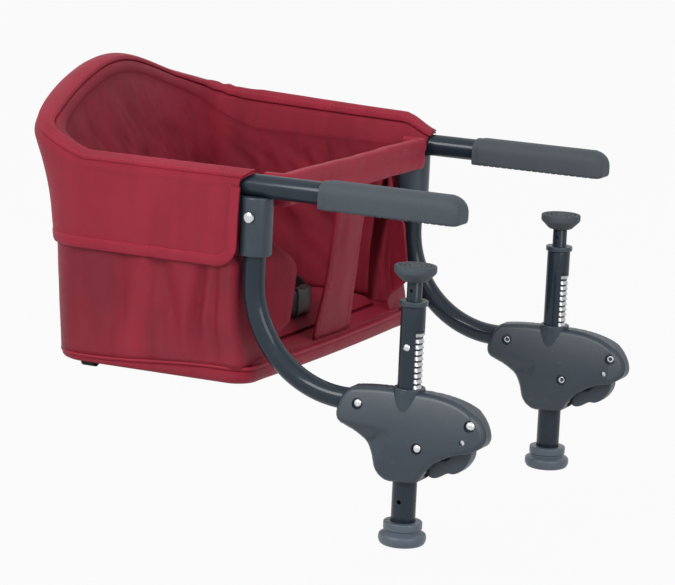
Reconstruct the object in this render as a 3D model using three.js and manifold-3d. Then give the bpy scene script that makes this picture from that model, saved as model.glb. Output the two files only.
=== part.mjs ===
// Hook-on child seat: a bent tube carries a fabric bucket. Rubber grips on the tube's arms rest from above,
// and ratchet clamps on curved lower arms press from below.
// Millimetres, +Z up. The origin lies in the plane of the grip soles, midway between the arms.
// The child looks along +X. Right is the child's right, at -Y. One side is drawn and the other mirrors it.
import * as THREE from 'three';
import { mergeVertices } from 'three/addons/utils/BufferGeometryUtils.js';
import Module from 'manifold-3d';

const wasm = await Module();
wasm.setup();

// Fits
const SLIDE_GAP = 0.35;
const SEAM_GAP = 0.3;

// Upper frame
const ARM_SPACING = 340;
const TUBE_RADIUS = 10.5;
const TUBE_WALL = 1.6;
const TUBE_HEIGHT = 13;
const TUBE_FRONT = 158;
const TUBE_SIDES = 10;
const RAIL_BACK = -204;
const HOOP_CORNER_X = -256;
const HOOP_CORNER_Y = 154;
const HOOP_CORNER_Z = 33;
const HOOP_SHOULDER_X = -276;
const HOOP_SHOULDER_Y = 102;
const HOOP_SHOULDER_Z = 55;
const HOOP_CREST_X = -284;
const HOOP_CREST_Z = 79;
const HOOP_STEPS = 18;

// Grips
const GRIP_START = 33;
const GRIP_END = 168;
const GRIP_WIDTH = 30;
const GRIP_SOLE_WIDTH = 24;
const GRIP_TOP = 25.8;
const GRIP_NOSE = 15;
const GROOVE_PITCH = 6.5;
const GROOVE_WIDTH = 2.4;
const GROOVE_DEPTH = 0.9;
const GROOVE_MARGIN = 10;

// Lower arms
const ARM_X = -33;
const ARM_RADIUS = 10;
const ARM_WALL = 1.6;
const ARM_TOP = -4;
const ARM_HEIGHT = -168;
const ARM_BEND = 96;
const ARM_END = 100;
const ARM_STEPS = 8;
const SWING_DEGREES = 70;

// Sockets that carry the lower arms
const BOSS_RADIUS = 15;
const BOSS_BOTTOM = -50;
const SADDLE_REAR = -70;
const SADDLE_WIDTH = 20.6;
const SADDLE_BOTTOM = -16;
const SADDLE_TOP = 4;
const SOCKET_SCREW_X = -60;
const SOCKET_SCREW_RADIUS = 2;
const SOCKET_SCREW_HEAD = 4;
const SOCKET_SCREW_HEAD_HEIGHT = 3.4;
const SOCKET_SCREW_TOP = 6;
const BUTTON_Z = -14;
const BUTTON_PIN_RADIUS = 3.2;
const BUTTON_PIN_REACH = 7;
const BUTTON_HEAD_RADIUS = 5;
const BUTTON_HEAD_HEIGHT = 3;
const BUTTON_PROUD = 2.6;
const BUTTON_TRAVEL = 2;
const SLOT_SPARE_DEGREES = 25;

// Clamp posts
const POST_X = 125;
const POST_RADIUS = 11;
const POST_WALL = 1.6;
const POST_TOP = -76;
const POST_BOTTOM = -280.6;
const POST_HOLE_Z = -252;
const POST_HOLE_RADIUS = 2;
const RACK_TOP = -98;
const RACK_PITCH = 5.2;
const RACK_TEETH = 25;
const RACK_TIP = 11;
const RACK_ROOT = 9.4;
const RACK_INNER = 7.4;
const RACK_HALF_ANGLE = 48;
const RACK_BACK_HALF_ANGLE = 108;
const WINDOW_HALF_ANGLE = 50.5;
const RACK_RIVET_Z = -112;
const RACK_RIVET_RADIUS = 2;
const RACK_RIVET_HEAD = 3.2;
const COLLAR_RADIUS = 12.8;
const COLLAR_HEIGHT = 4.6;
const COLLAR_PLUG = 15;

// Spindles, pads and foot knobs
const SPINDLE_RADIUS = 6.8;
const SPINDLE_BOTTOM = -160;
const SPINDLE_BORE_TOP = -68;
const SPINDLE_HOLE_Z = -62;
const SPINDLE_HOLE_RADIUS = 1.5;
const SCREW_RADIUS = 4;
const SCREW_TOP = -80;
const PAD_TOP = -40;
const PAD_RADIUS = 19;
const PAD_RIM = 6;
const PAD_HUB_RADIUS = 11;
const PAD_HEIGHT = 14;
const PAD_POCKET = 7.4;
const KNOB_RADIUS = 21.7;
const KNOB_FLANGE = 10.5;
const KNOB_HUB_RADIUS = 17.5;
const KNOB_TOP = -271;
const KNOB_BOTTOM = -292;
const KNOB_FLOOR = 4.6;

// Clamp housings, as an outline seen from the side
const HOUSING_REAR = 60;
const HOUSING_TOP = -151.5;
const HOUSING_NOSE = 208;
const HOUSING_BOTTOM = -233.5;
const HOUSING_WIDTH = 40;
const HOUSING_EDGE = 4;
const HOUSING_CREST_WIDTH = 16;
const MOUTH_TOP = -155.4;
const MOUTH_BOTTOM = -184;
const BOSS_RIM = 14.2;
const BOSS_RIM_TOP = -149;
const BOSS_RIM_DEPTH = 26;
const RIVET_REAR_SETBACK = 21;
const RIVET_NOSE_SETBACK = 18;
const RIVET_FRONT_Z = -173;
const RIVET_LOW_OFFSET = 18;
const RIVET_LOW_Z = -199;
const RIVET_RADIUS = 2.2;
const RIVET_HEAD = 4.3;
const RIVET_HEAD_HEIGHT = 2.3;
const RIVET_ROLL = 3.4;
const RIVET_RECESS = 2.6;

// Trigger and pawl
const PIVOT_SETBACK = 23;
const PIVOT_Z = -188;
const PIVOT_RADIUS = 2.4;
const PIVOT_BOSS = 5.5;
const TRIGGER_WIDTH = 16;
const TRIGGER_NOSE = 4;
const TRIGGER_TIP_OFFSET = 25;
const TRIGGER_TIP_Z = -226;
const TRIGGER_SEAT = -207;
const TRIGGER_ARM_SETBACK = 13;
const TRIGGER_ARM_TOP = -169.5;
const TRIGGER_ARM_WIDTH = 5;
const TRIGGER_ARM_DEPTH = 4.4;
const PAWL_WIDTH = 10;
const PAWL_TOP = -166;
const PAWL_HEIGHT = 12;
const PAWL_STANDOFF = 3.2;
const PAWL_TOOTH = 2.6;
const PAWL_TAIL = 7;
const PAWL_SLOT = 8;
const SPRING_PLACE = 2 / 7;
const SPRING_RADIUS = 3.4;
const SPRING_WIRE = 0.6;
const SPRING_TURNS = 3;
const SPRING_CEILING = -190;

// Places in the housing that follow its nose, its rear and the post
const PIVOT_X = HOUSING_NOSE - PIVOT_SETBACK;
const TRIGGER_FRONT = PIVOT_X + TRIGGER_NOSE;
const TRIGGER_TIP_X = POST_X + TRIGGER_TIP_OFFSET;
const TRIGGER_ARM_X = PIVOT_X - TRIGGER_ARM_SETBACK;
const PAWL_FACE = POST_X + POST_RADIUS + PAWL_STANDOFF;
const PAWL_REAR = TRIGGER_ARM_X + PAWL_TAIL;
const SPRING_X = THREE.MathUtils.lerp(TRIGGER_TIP_X, PIVOT_X, SPRING_PLACE);
const RIVET_PLACES = {
  rear: [HOUSING_REAR + RIVET_REAR_SETBACK, ARM_HEIGHT],
  front: [HOUSING_NOSE - RIVET_NOSE_SETBACK, RIVET_FRONT_Z],
  low: [POST_X + RIVET_LOW_OFFSET, RIVET_LOW_Z],
};

// Fabric seat
const CLOTH = 2.4;
const SLEEVE = 1.8;
const SLEEVE_FRONT = -40;
const FLAP_FRONT = -44;
const FLAP_HEM = -60;
const FLAP_FLARE = 2.2;
const FLAP_BACK_EASE = 1.4;
const PANEL_TOP = -53;
const PANEL_CLOTH = 3;
const PANEL_FRONT = -46;
const PANEL_CORNER = 8;
const RETURN_TOP_Y = 118;
const RETURN_BOTTOM_Y = 138;
const BAG_BACK_HEM = -256;
const BAG_BACK_BOTTOM = -243;
const BAG_HALF_BOTTOM = 183;
const FOLD_COUNT = 4;
const FOLD_DEPTH = 1.2;
const BASE_TOP = -151;
const BASE_HEIGHT = 16;
const BASE_EDGE = 5;
const LINING = 2.4;
const LINING_FRONT = -76;
const LINING_CLEARANCE = 3.4;
const LINING_STEPS = 3;
const LINING_RISE = 24;
const LINING_LEAN = 1.2;
const CUSHION_CROWN = 11;
const CUSHION_SIDE = 3;
const CUSHION_INSET = 9;
const BAND_FRONT = -12;
const BAND_DEPTH = 11;
const BAND_TOP = 26;
const BAND_HEIGHT = 32;
const BAND_END_X = -72;
const BAND_SHOULDER_Y = 138;
const CROTCH_TOP_WIDTH = 64;
const CROTCH_BOTTOM_WIDTH = 74;
const CROTCH_BOTTOM_X = -43;
const CROTCH_SIDE_DRAW = 4;
const CROTCH_TOP_GAP = 0.8;
const STRAP_WIDTH = 25;
const STRAP_CLOTH = 1.6;
const STRAP_ROUTE = [[-196, 164], [-152, 124], [-110, 68], [-72, 24]];
const BUCKLE_X = -72;
const BUCKLE_LENGTH = 46;
const BUCKLE_DEPTH = 11;
const BUCKLE_HEIGHT = 29;

const X_AXIS = new THREE.Vector3(1, 0, 0);
const Y_AXIS = new THREE.Vector3(0, 1, 0);
const Z_AXIS = new THREE.Vector3(0, 0, 1);
const ARM_PLANE = ARM_SPACING / 2;

const paint = { color: 0x3d434b, roughness: 0.38, metalness: 0.5 };
const rubber = { color: 0x343a41, roughness: 0.85, metalness: 0 };
const plastic = { color: 0x3f4449, roughness: 0.5, metalness: 0 };
const knobPlastic = { color: 0x5b6066, roughness: 0.55, metalness: 0 };
const zinc = { color: 0xc9ccd0, roughness: 0.25, metalness: 1 };
const fabric = { color: 0xa51c30, roughness: 0.8, metalness: 0 };
const liningCloth = { color: 0x8c1728, roughness: 0.85, metalness: 0 };
const webbing = { color: 0x17181b, roughness: 0.9, metalness: 0 };

// Solids

function outward(geometry) {
  const place = geometry.attributes.position;
  const index = geometry.index.array;
  const corner = [new THREE.Vector3(), new THREE.Vector3(), new THREE.Vector3()];
  let volume = 0;
  for (let i = 0; i < index.length; i += 3) {
    corner.forEach((v, k) => v.fromBufferAttribute(place, index[i + k]));
    volume += corner[0].dot(corner[1].clone().cross(corner[2]));
  }
  if (volume < 0) {
    for (let i = 0; i < index.length; i += 3) {
      [index[i], index[i + 1]] = [index[i + 1], index[i]];
    }
  }
  return geometry;
}

function welded(geometry) {
  const bare = geometry.clone();
  bare.deleteAttribute('normal');
  bare.deleteAttribute('uv');
  return outward(mergeVertices(bare, 1e-4));
}

function solid(geometry) {
  const clean = welded(geometry);
  return new wasm.Manifold(new wasm.Mesh({
    numProp: 3,
    vertProperties: Float32Array.from(clean.attributes.position.array),
    triVerts: Uint32Array.from(clean.index.array),
  }));
}

function geometryOf(body) {
  const { vertProperties, triVerts } = body.getMesh();
  const geometry = new THREE.BufferGeometry();
  geometry.setAttribute('position', new THREE.BufferAttribute(vertProperties, 3));
  geometry.setIndex(new THREE.BufferAttribute(triVerts, 1));
  return geometry;
}

function cut(body, ...tools) {
  return geometryOf(tools.reduce((rest, tool) => rest.subtract(solid(tool)), solid(body)));
}

function join(body, ...more) {
  return geometryOf(more.reduce((whole, piece) => whole.add(solid(piece)), solid(body)));
}

function common(body, other) {
  return geometryOf(solid(body).intersect(solid(other)));
}

function block(x0, x1, y0, y1, z0, z1) {
  const geometry = new THREE.BoxGeometry(x1 - x0, y1 - y0, z1 - z0);
  return geometry.translate((x0 + x1) / 2, (y0 + y1) / 2, (z0 + z1) / 2);
}

function rod(radius, from, to, sides = 16) {
  const start = new THREE.Vector3(...from);
  const along = new THREE.Vector3(...to).sub(start);
  const geometry = new THREE.CylinderGeometry(radius, radius, along.length(), sides);
  const turn = new THREE.Quaternion().setFromUnitVectors(Y_AXIS, along.clone().normalize());
  geometry.applyQuaternion(turn);
  return geometry.translate(...start.addScaledVector(along, 0.5).toArray());
}

function upright(radius, x, z0, z1, sides = 16) {
  return rod(radius, [x, 0, z0], [x, 0, z1], sides);
}

function crossways(radius, x, z, y0, y1, sides = 12) {
  return rod(radius, [x, y0, z], [x, y1, z], sides);
}

// A turned piece about the upright axis at x, from radius and height pairs
function turned(pairs, x, sides = 18) {
  const profile = pairs.map(([radius, z]) => new THREE.Vector2(radius, z));
  return new THREE.LatheGeometry(profile, sides).rotateX(Math.PI / 2).translate(x, 0, 0);
}

// A plate standing in the XZ plane, as wide as given along Y
function standing(shape, width, edge = 0, curveSegments = 5) {
  const geometry = new THREE.ExtrudeGeometry(shape, {
    depth: width - 2 * edge,
    bevelEnabled: edge > 0,
    bevelThickness: edge,
    bevelSize: edge,
    bevelOffset: -edge,
    bevelSegments: 1,
    curveSegments,
  });
  geometry.translate(0, 0, edge - width / 2);
  return geometry.rotateX(Math.PI / 2);
}

// A bar along X whose section is drawn in the YZ plane
function barAlongX(shape, x0, x1, curveSegments = 4) {
  const geometry = new THREE.ExtrudeGeometry(shape, { depth: x1 - x0, bevelEnabled: false, curveSegments });
  geometry.applyMatrix4(new THREE.Matrix4().makeBasis(Y_AXIS, Z_AXIS, X_AXIS));
  return geometry.translate(x0, 0, 0);
}

function polygon(radius, sides) {
  return Array.from({ length: sides }, (_, k) => {
    const angle = (2 * Math.PI * (k + 0.5)) / sides;
    return new THREE.Vector2(radius * Math.cos(angle), radius * Math.sin(angle));
  });
}

// A run of chosen rings, so that a tube and the sleeve on it bend at the same places
class RingPath extends THREE.Curve {
  constructor(points) {
    super();
    this.points = points;
  }

  getPoint(t) {
    return this.points[Math.round(t * (this.points.length - 1))].clone();
  }

  getPointAt(u) {
    return this.getPoint(u);
  }

  getTangentAt(u) {
    const last = this.points.length - 1;
    const i = Math.round(u * last);
    const tangent = new THREE.Vector3();
    if (i > 0) tangent.add(this.points[i].clone().sub(this.points[i - 1]).normalize());
    if (i < last) tangent.add(this.points[i + 1].clone().sub(this.points[i]).normalize());
    return tangent.normalize();
  }
}

function swept(points, outline, hole = null) {
  const shape = new THREE.Shape(outline);
  if (hole) shape.holes.push(new THREE.Path(hole));
  const options = { steps: points.length - 1, extrudePath: new RingPath(points), bevelEnabled: false };
  return new THREE.ExtrudeGeometry(shape, options);
}

function pipe(points, radius, wall, sides = TUBE_SIDES) {
  return swept(points, polygon(radius, sides), polygon(radius - wall, sides));
}

// A closed sheet between two surfaces given over the unit square
function sheet(front, back, columns, rows) {
  const places = [];
  const index = [];
  const stride = rows + 1;
  const layer = (columns + 1) * stride;
  for (const surface of [front, back]) {
    for (let i = 0; i <= columns; i += 1) {
      for (let j = 0; j <= rows; j += 1) {
        places.push(...surface(i / columns, j / rows).toArray());
      }
    }
  }
  const quad = (a, b, c, d) => index.push(a, b, c, a, c, d);
  for (let i = 0; i < columns; i += 1) {
    for (let j = 0; j < rows; j += 1) {
      const a = i * stride + j;
      quad(a, a + stride, a + stride + 1, a + 1);
      quad(layer + a, layer + a + 1, layer + a + stride + 1, layer + a + stride);
    }
  }
  for (let i = 0; i < columns; i += 1) {
    const low = i * stride;
    const high = low + rows;
    quad(low, layer + low, layer + low + stride, low + stride);
    quad(high, high + stride, layer + high + stride, layer + high);
  }
  for (let j = 0; j < rows; j += 1) {
    const far = columns * stride + j;
    quad(j, j + 1, layer + j + 1, layer + j);
    quad(far, layer + far, layer + far + 1, far + 1);
  }
  const geometry = new THREE.BufferGeometry();
  geometry.setAttribute('position', new THREE.Float32BufferAttribute(places, 3));
  geometry.setIndex(index);
  return outward(geometry);
}

// The surface that lies a set depth behind another, along its own normal
function behind(surface, depth) {
  const step = 1e-3;
  return (u, v) => {
    const across = surface(Math.min(u + step, 1), v).sub(surface(Math.max(u - step, 0), v));
    const down = surface(u, Math.min(v + step, 1)).sub(surface(u, Math.max(v - step, 0)));
    return surface(u, v).addScaledVector(across.cross(down).normalize(), -depth);
  };
}

function clothSheet(surface, depth, columns, rows) {
  return sheet(surface, behind(surface, depth), columns, rows);
}

function sector(radius, fromDegrees, toDegrees, z0, z1, x) {
  const shape = new THREE.Shape();
  const from = THREE.MathUtils.degToRad(fromDegrees);
  const to = THREE.MathUtils.degToRad(toDegrees);
  shape.moveTo(0, 0);
  shape.lineTo(radius * Math.cos(from), radius * Math.sin(from));
  shape.absarc(0, 0, radius, from, to);
  const options = { depth: z1 - z0, bevelEnabled: false, curveSegments: 8 };
  return new THREE.ExtrudeGeometry(shape, options).translate(x, 0, z0);
}

function named(name, geometry, look) {
  const mesh = new THREE.Mesh(welded(geometry), new THREE.MeshStandardMaterial(look));
  mesh.name = name;
  return mesh;
}

// Upper frame

function hoopPoints() {
  const half = [
    [RAIL_BACK, -ARM_PLANE, TUBE_HEIGHT],
    [HOOP_CORNER_X, -HOOP_CORNER_Y, HOOP_CORNER_Z],
    [HOOP_SHOULDER_X, -HOOP_SHOULDER_Y, HOOP_SHOULDER_Z],
  ];
  const otherHalf = half.map(([x, y, z]) => [x, -y, z]).reverse();
  const places = [...half, [HOOP_CREST_X, 0, HOOP_CREST_Z], ...otherHalf];
  const curve = new THREE.CatmullRomCurve3(places.map((p) => new THREE.Vector3(...p)));
  return curve.getSpacedPoints(HOOP_STEPS);
}

function railPoints(front) {
  const right = new THREE.Vector3(front, -ARM_PLANE, TUBE_HEIGHT);
  const left = new THREE.Vector3(front, ARM_PLANE, TUBE_HEIGHT);
  return [right, left];
}

function framePoints() {
  const [right, left] = railPoints(TUBE_FRONT);
  return [right, ...sleevePoints(), left];
}

function sleevePoints() {
  const [right, left] = railPoints(SLEEVE_FRONT);
  return [right, ...hoopPoints(), left];
}

function upperFrameTube() {
  const hole = (y) => rod(
    SOCKET_SCREW_RADIUS + SLIDE_GAP,
    [SOCKET_SCREW_X, y, TUBE_HEIGHT - TUBE_RADIUS - TUBE_WALL],
    [SOCKET_SCREW_X, y, TUBE_HEIGHT],
    8,
  );
  return cut(pipe(framePoints(), TUBE_RADIUS, TUBE_WALL), hole(-ARM_PLANE), hole(ARM_PLANE));
}

function grip() {
  const half = GRIP_WIDTH / 2;
  const sole = GRIP_SOLE_WIDTH / 2;
  const section = new THREE.Shape();
  section.moveTo(-sole, 0);
  section.lineTo(sole, 0);
  section.quadraticCurveTo(half, 0, half, half - sole);
  section.lineTo(half, GRIP_TOP / 2);
  section.bezierCurveTo(half, GRIP_TOP, 0, GRIP_TOP, 0, GRIP_TOP);
  section.bezierCurveTo(0, GRIP_TOP, -half, GRIP_TOP, -half, GRIP_TOP / 2);
  section.lineTo(-half, half - sole);
  section.quadraticCurveTo(-half, 0, -sole, 0);
  const side = new THREE.Shape();
  side.moveTo(GRIP_START, 0);
  side.lineTo(GRIP_END - GRIP_NOSE / 3, 0);
  side.quadraticCurveTo(GRIP_END, 0, GRIP_END, GRIP_NOSE / 3);
  side.lineTo(GRIP_END, GRIP_TOP - GRIP_NOSE);
  side.quadraticCurveTo(GRIP_END, GRIP_TOP, GRIP_END - GRIP_NOSE, GRIP_TOP);
  side.lineTo(GRIP_START, GRIP_TOP);
  const body = common(barAlongX(section, GRIP_START, GRIP_END), standing(side, GRIP_WIDTH + 2));
  const bore = rod(
    TUBE_RADIUS + SLIDE_GAP,
    [GRIP_START - 1, 0, TUBE_HEIGHT],
    [TUBE_FRONT + SEAM_GAP, 0, TUBE_HEIGHT],
  );
  const length = GRIP_END - GRIP_START - 2 * GROOVE_MARGIN;
  const count = Math.floor((length - GROOVE_WIDTH) / GROOVE_PITCH) + 1;
  const grooves = Array.from({ length: count }, (_, k) => {
    const x = GRIP_START + GROOVE_MARGIN + k * GROOVE_PITCH;
    return block(x, x + GROOVE_WIDTH, -GRIP_WIDTH, GRIP_WIDTH, -1, GROOVE_DEPTH);
  });
  return cut(body, bore, ...grooves);
}

// Arm sockets and their buttons

function armSocket() {
  const half = SADDLE_WIDTH / 2;
  const body = join(
    block(SADDLE_REAR, ARM_X, -half, half, SADDLE_BOTTOM, SADDLE_TOP),
    upright(BOSS_RADIUS, ARM_X, BOSS_BOTTOM, SADDLE_TOP, 24),
  );
  const headDepth = BUTTON_HEAD_HEIGHT - BUTTON_PROUD + BUTTON_TRAVEL + SLIDE_GAP;
  return cut(
    body,
    rod(
      TUBE_RADIUS + SLIDE_GAP,
      [SADDLE_REAR - 1, 0, TUBE_HEIGHT],
      [ARM_X + BOSS_RADIUS + 1, 0, TUBE_HEIGHT],
      24,
    ),
    upright(ARM_RADIUS + SLIDE_GAP, ARM_X, BOSS_BOTTOM - 1, ARM_TOP + SEAM_GAP, 24),
    crossways(BUTTON_PIN_RADIUS + SLIDE_GAP, ARM_X, BUTTON_Z, -BOSS_RADIUS - 1, 0),
    crossways(BUTTON_HEAD_RADIUS + SLIDE_GAP, ARM_X, BUTTON_Z, -BOSS_RADIUS - 1, headDepth - BOSS_RADIUS),
    upright(SOCKET_SCREW_RADIUS + SLIDE_GAP, SOCKET_SCREW_X, SADDLE_BOTTOM - 1, TUBE_HEIGHT, 8),
  );
}

function socketScrew() {
  const seat = SADDLE_BOTTOM - SEAM_GAP;
  return turned([
    [0, seat - SOCKET_SCREW_HEAD_HEIGHT],
    [SOCKET_SCREW_HEAD, seat - SOCKET_SCREW_HEAD_HEIGHT],
    [SOCKET_SCREW_HEAD, seat],
    [SOCKET_SCREW_RADIUS, seat],
    [SOCKET_SCREW_RADIUS, SOCKET_SCREW_TOP],
    [0, SOCKET_SCREW_TOP],
  ], SOCKET_SCREW_X, 8);
}

function swingButton() {
  const face = -BOSS_RADIUS - BUTTON_PROUD;
  const shoulder = face + BUTTON_HEAD_HEIGHT;
  return join(
    crossways(BUTTON_HEAD_RADIUS, ARM_X, BUTTON_Z, face, shoulder),
    crossways(BUTTON_PIN_RADIUS, ARM_X, BUTTON_Z, shoulder - 1, -BUTTON_PIN_REACH),
  );
}

// Lower arms

function lowerArm() {
  const bendTop = ARM_HEIGHT + ARM_BEND;
  const bend = Array.from({ length: ARM_STEPS + 1 }, (_, k) => {
    const angle = (Math.PI / 2) * (k / ARM_STEPS);
    const x = ARM_X + ARM_BEND * (1 - Math.cos(angle));
    return new THREE.Vector3(x, 0, bendTop - ARM_BEND * Math.sin(angle));
  });
  const start = new THREE.Vector3(ARM_X, 0, ARM_TOP);
  const end = new THREE.Vector3(ARM_END, 0, ARM_HEIGHT);
  const [rivetX, rivetZ] = RIVET_PLACES.rear;
  const slotHalf = BUTTON_PIN_RADIUS + SLIDE_GAP;
  const slotFrom = -90 - SWING_DEGREES - SLOT_SPARE_DEGREES;
  const slotTo = SLOT_SPARE_DEGREES - 90;
  return cut(
    pipe([start, ...bend, end], ARM_RADIUS, ARM_WALL),
    sector(ARM_RADIUS + 2, slotFrom, slotTo, BUTTON_Z - slotHalf, BUTTON_Z + slotHalf, ARM_X),
    crossways(RIVET_RADIUS + SLIDE_GAP, rivetX, rivetZ, -ARM_RADIUS - 1, ARM_RADIUS + 1, 8),
  );
}

// Clamp housings

function sideCurve() {
  const half = HOUSING_WIDTH / 2;
  const crest = HOUSING_CREST_WIDTH / 2;
  return new THREE.CubicBezierCurve(
    new THREE.Vector2(crest, BOSS_RIM_TOP),
    new THREE.Vector2(crest + 4, BOSS_RIM_TOP - 11),
    new THREE.Vector2(half - 2, BOSS_RIM_TOP - 31),
    new THREE.Vector2(half, BOSS_RIM_TOP - 51),
  );
}

// Half the housing's width at a height, read from the curve of its flank
function flankAt(z) {
  const points = sideCurve().getPoints(40);
  const next = points.find((p) => p.y <= z);
  return next ? next.x : HOUSING_WIDTH / 2;
}

function housingOutline() {
  const outline = new THREE.Shape();
  outline.moveTo(HOUSING_REAR, MOUTH_BOTTOM);
  outline.lineTo(HOUSING_REAR + 4, MOUTH_TOP);
  outline.lineTo(POST_X - BOSS_RIM - 4, HOUSING_TOP);
  outline.lineTo(POST_X + BOSS_RIM + 4, HOUSING_TOP);
  outline.bezierCurveTo(
    POST_X + 50, HOUSING_TOP,
    HOUSING_NOSE - 10, PIVOT_Z + 24,
    HOUSING_NOSE - 1, PIVOT_Z + 4,
  );
  outline.quadraticCurveTo(HOUSING_NOSE + 1, PIVOT_Z - 4, HOUSING_NOSE - 8, PIVOT_Z - 6);
  outline.quadraticCurveTo(PIVOT_X + 4, PIVOT_Z - 8, PIVOT_X - 4, PIVOT_Z - 13);
  outline.quadraticCurveTo(PIVOT_X - 24, PIVOT_Z - 22, TRIGGER_TIP_X - 3, TRIGGER_TIP_Z + 2);
  outline.quadraticCurveTo(POST_X + 16, HOUSING_BOTTOM, POST_X + 10, HOUSING_BOTTOM);
  outline.lineTo(POST_X - 10, HOUSING_BOTTOM);
  outline.quadraticCurveTo(POST_X - 20, HOUSING_BOTTOM, POST_X - 25, HOUSING_BOTTOM + 14);
  outline.quadraticCurveTo(POST_X - 33, MOUTH_BOTTOM - 16, POST_X - 53, MOUTH_BOTTOM - 6);
  outline.quadraticCurveTo(HOUSING_REAR + 4, MOUTH_BOTTOM - 3, HOUSING_REAR, MOUTH_BOTTOM);
  return outline;
}

function flankSection() {
  const curve = sideCurve().getPoints(5);
  const half = HOUSING_WIDTH / 2;
  const lower = [new THREE.Vector2(half, HOUSING_BOTTOM + 18), new THREE.Vector2(half - 4, HOUSING_BOTTOM - 1)];
  const right = [...curve, ...lower];
  const left = right.map((p) => new THREE.Vector2(-p.x, p.y)).reverse();
  return new THREE.Shape([...right, ...left]);
}

// The space that the trigger sweeps, open to the underside
function triggerPocket() {
  const wall = POST_X + POST_RADIUS + 4.5;
  const shape = new THREE.Shape();
  shape.moveTo(wall, HOUSING_BOTTOM - 6);
  shape.lineTo(wall, TRIGGER_SEAT + 1);
  shape.lineTo(TRIGGER_TIP_X, TRIGGER_SEAT + 7);
  shape.lineTo(TRIGGER_ARM_X - 8, SPRING_CEILING - 2);
  shape.lineTo(TRIGGER_ARM_X - 8, PAWL_TOP + 1);
  shape.lineTo(TRIGGER_ARM_X + 7, PAWL_TOP + 1);
  shape.lineTo(PIVOT_X + PIVOT_BOSS + 1, PIVOT_Z + PIVOT_BOSS + 1);
  shape.lineTo(PIVOT_X + PIVOT_BOSS + 1, HOUSING_BOTTOM - 6);
  return standing(shape, TRIGGER_WIDTH + 2 * SLIDE_GAP);
}

function housing() {
  const shaped = common(
    standing(housingOutline(), HOUSING_WIDTH, HOUSING_EDGE, 3),
    barAlongX(flankSection(), HOUSING_REAR - 2, HOUSING_NOSE + 4),
  );
  const rim = upright(BOSS_RIM, POST_X, BOSS_RIM_TOP - BOSS_RIM_DEPTH, BOSS_RIM_TOP, 24);
  const pawlHalf = PAWL_WIDTH / 2 + SLIDE_GAP;
  const pockets = [
    upright(POST_RADIUS + SLIDE_GAP, POST_X, HOUSING_BOTTOM - 2, BOSS_RIM_TOP + 2, 24),
    rod(
      ARM_RADIUS + SLIDE_GAP,
      [HOUSING_REAR - 10, 0, ARM_HEIGHT],
      [ARM_END + SEAM_GAP, 0, ARM_HEIGHT],
      24,
    ),
    block(
      POST_X, PAWL_REAR + 4, -pawlHalf, pawlHalf,
      PAWL_TOP - PAWL_HEIGHT - SLIDE_GAP, PAWL_TOP + SLIDE_GAP,
    ),
    triggerPocket(),
    upright(SPRING_RADIUS + SPRING_WIRE + 0.6, SPRING_X, TRIGGER_SEAT, SPRING_CEILING, 12),
    crossways(PIVOT_RADIUS + SLIDE_GAP, PIVOT_X, PIVOT_Z, -HOUSING_WIDTH, HOUSING_WIDTH),
  ];
  for (const [x, z] of Object.values(RIVET_PLACES)) {
    const face = flankAt(z);
    pockets.push(crossways(RIVET_RADIUS + SLIDE_GAP, x, z, -face - 1, face + 1, 8));
    pockets.push(crossways(RIVET_HEAD + 0.7, x, z, -HOUSING_WIDTH, RIVET_RECESS - face));
    pockets.push(crossways(RIVET_ROLL + 0.7, x, z, face - RIVET_RECESS, HOUSING_WIDTH));
  }
  return cut(join(shaped, rim), ...pockets);
}

function housingHalf(whole, side) {
  const near = SEAM_GAP / 2;
  const far = HOUSING_WIDTH;
  const [y0, y1] = side < 0 ? [-far, -near] : [near, far];
  const slab = block(HOUSING_REAR - 20, HOUSING_NOSE + 20, y0, y1, HOUSING_BOTTOM - 20, BOSS_RIM_TOP + 20);
  return common(whole, slab);
}

// A tubular rivet with a domed head outside and a rolled end inside
function clampRivet(x, z) {
  const face = flankAt(z);
  const seat = face - RIVET_RECESS + SEAM_GAP;
  const profile = [
    [0, -seat - RIVET_HEAD_HEIGHT],
    [RIVET_HEAD * 0.6, -seat - RIVET_HEAD_HEIGHT * 0.8],
    [RIVET_HEAD, -seat],
    [RIVET_RADIUS, -seat],
    [RIVET_RADIUS, seat],
    [RIVET_ROLL, seat],
    [RIVET_ROLL * 0.8, seat + 1.2],
    [RIVET_ROLL * 0.45, seat + 0.7],
    [0, seat],
  ];
  const points = profile.map(([radius, y]) => new THREE.Vector2(radius, y));
  return new THREE.LatheGeometry(points, 7).translate(x, 0, z);
}

// Trigger, pawl and spring

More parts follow.
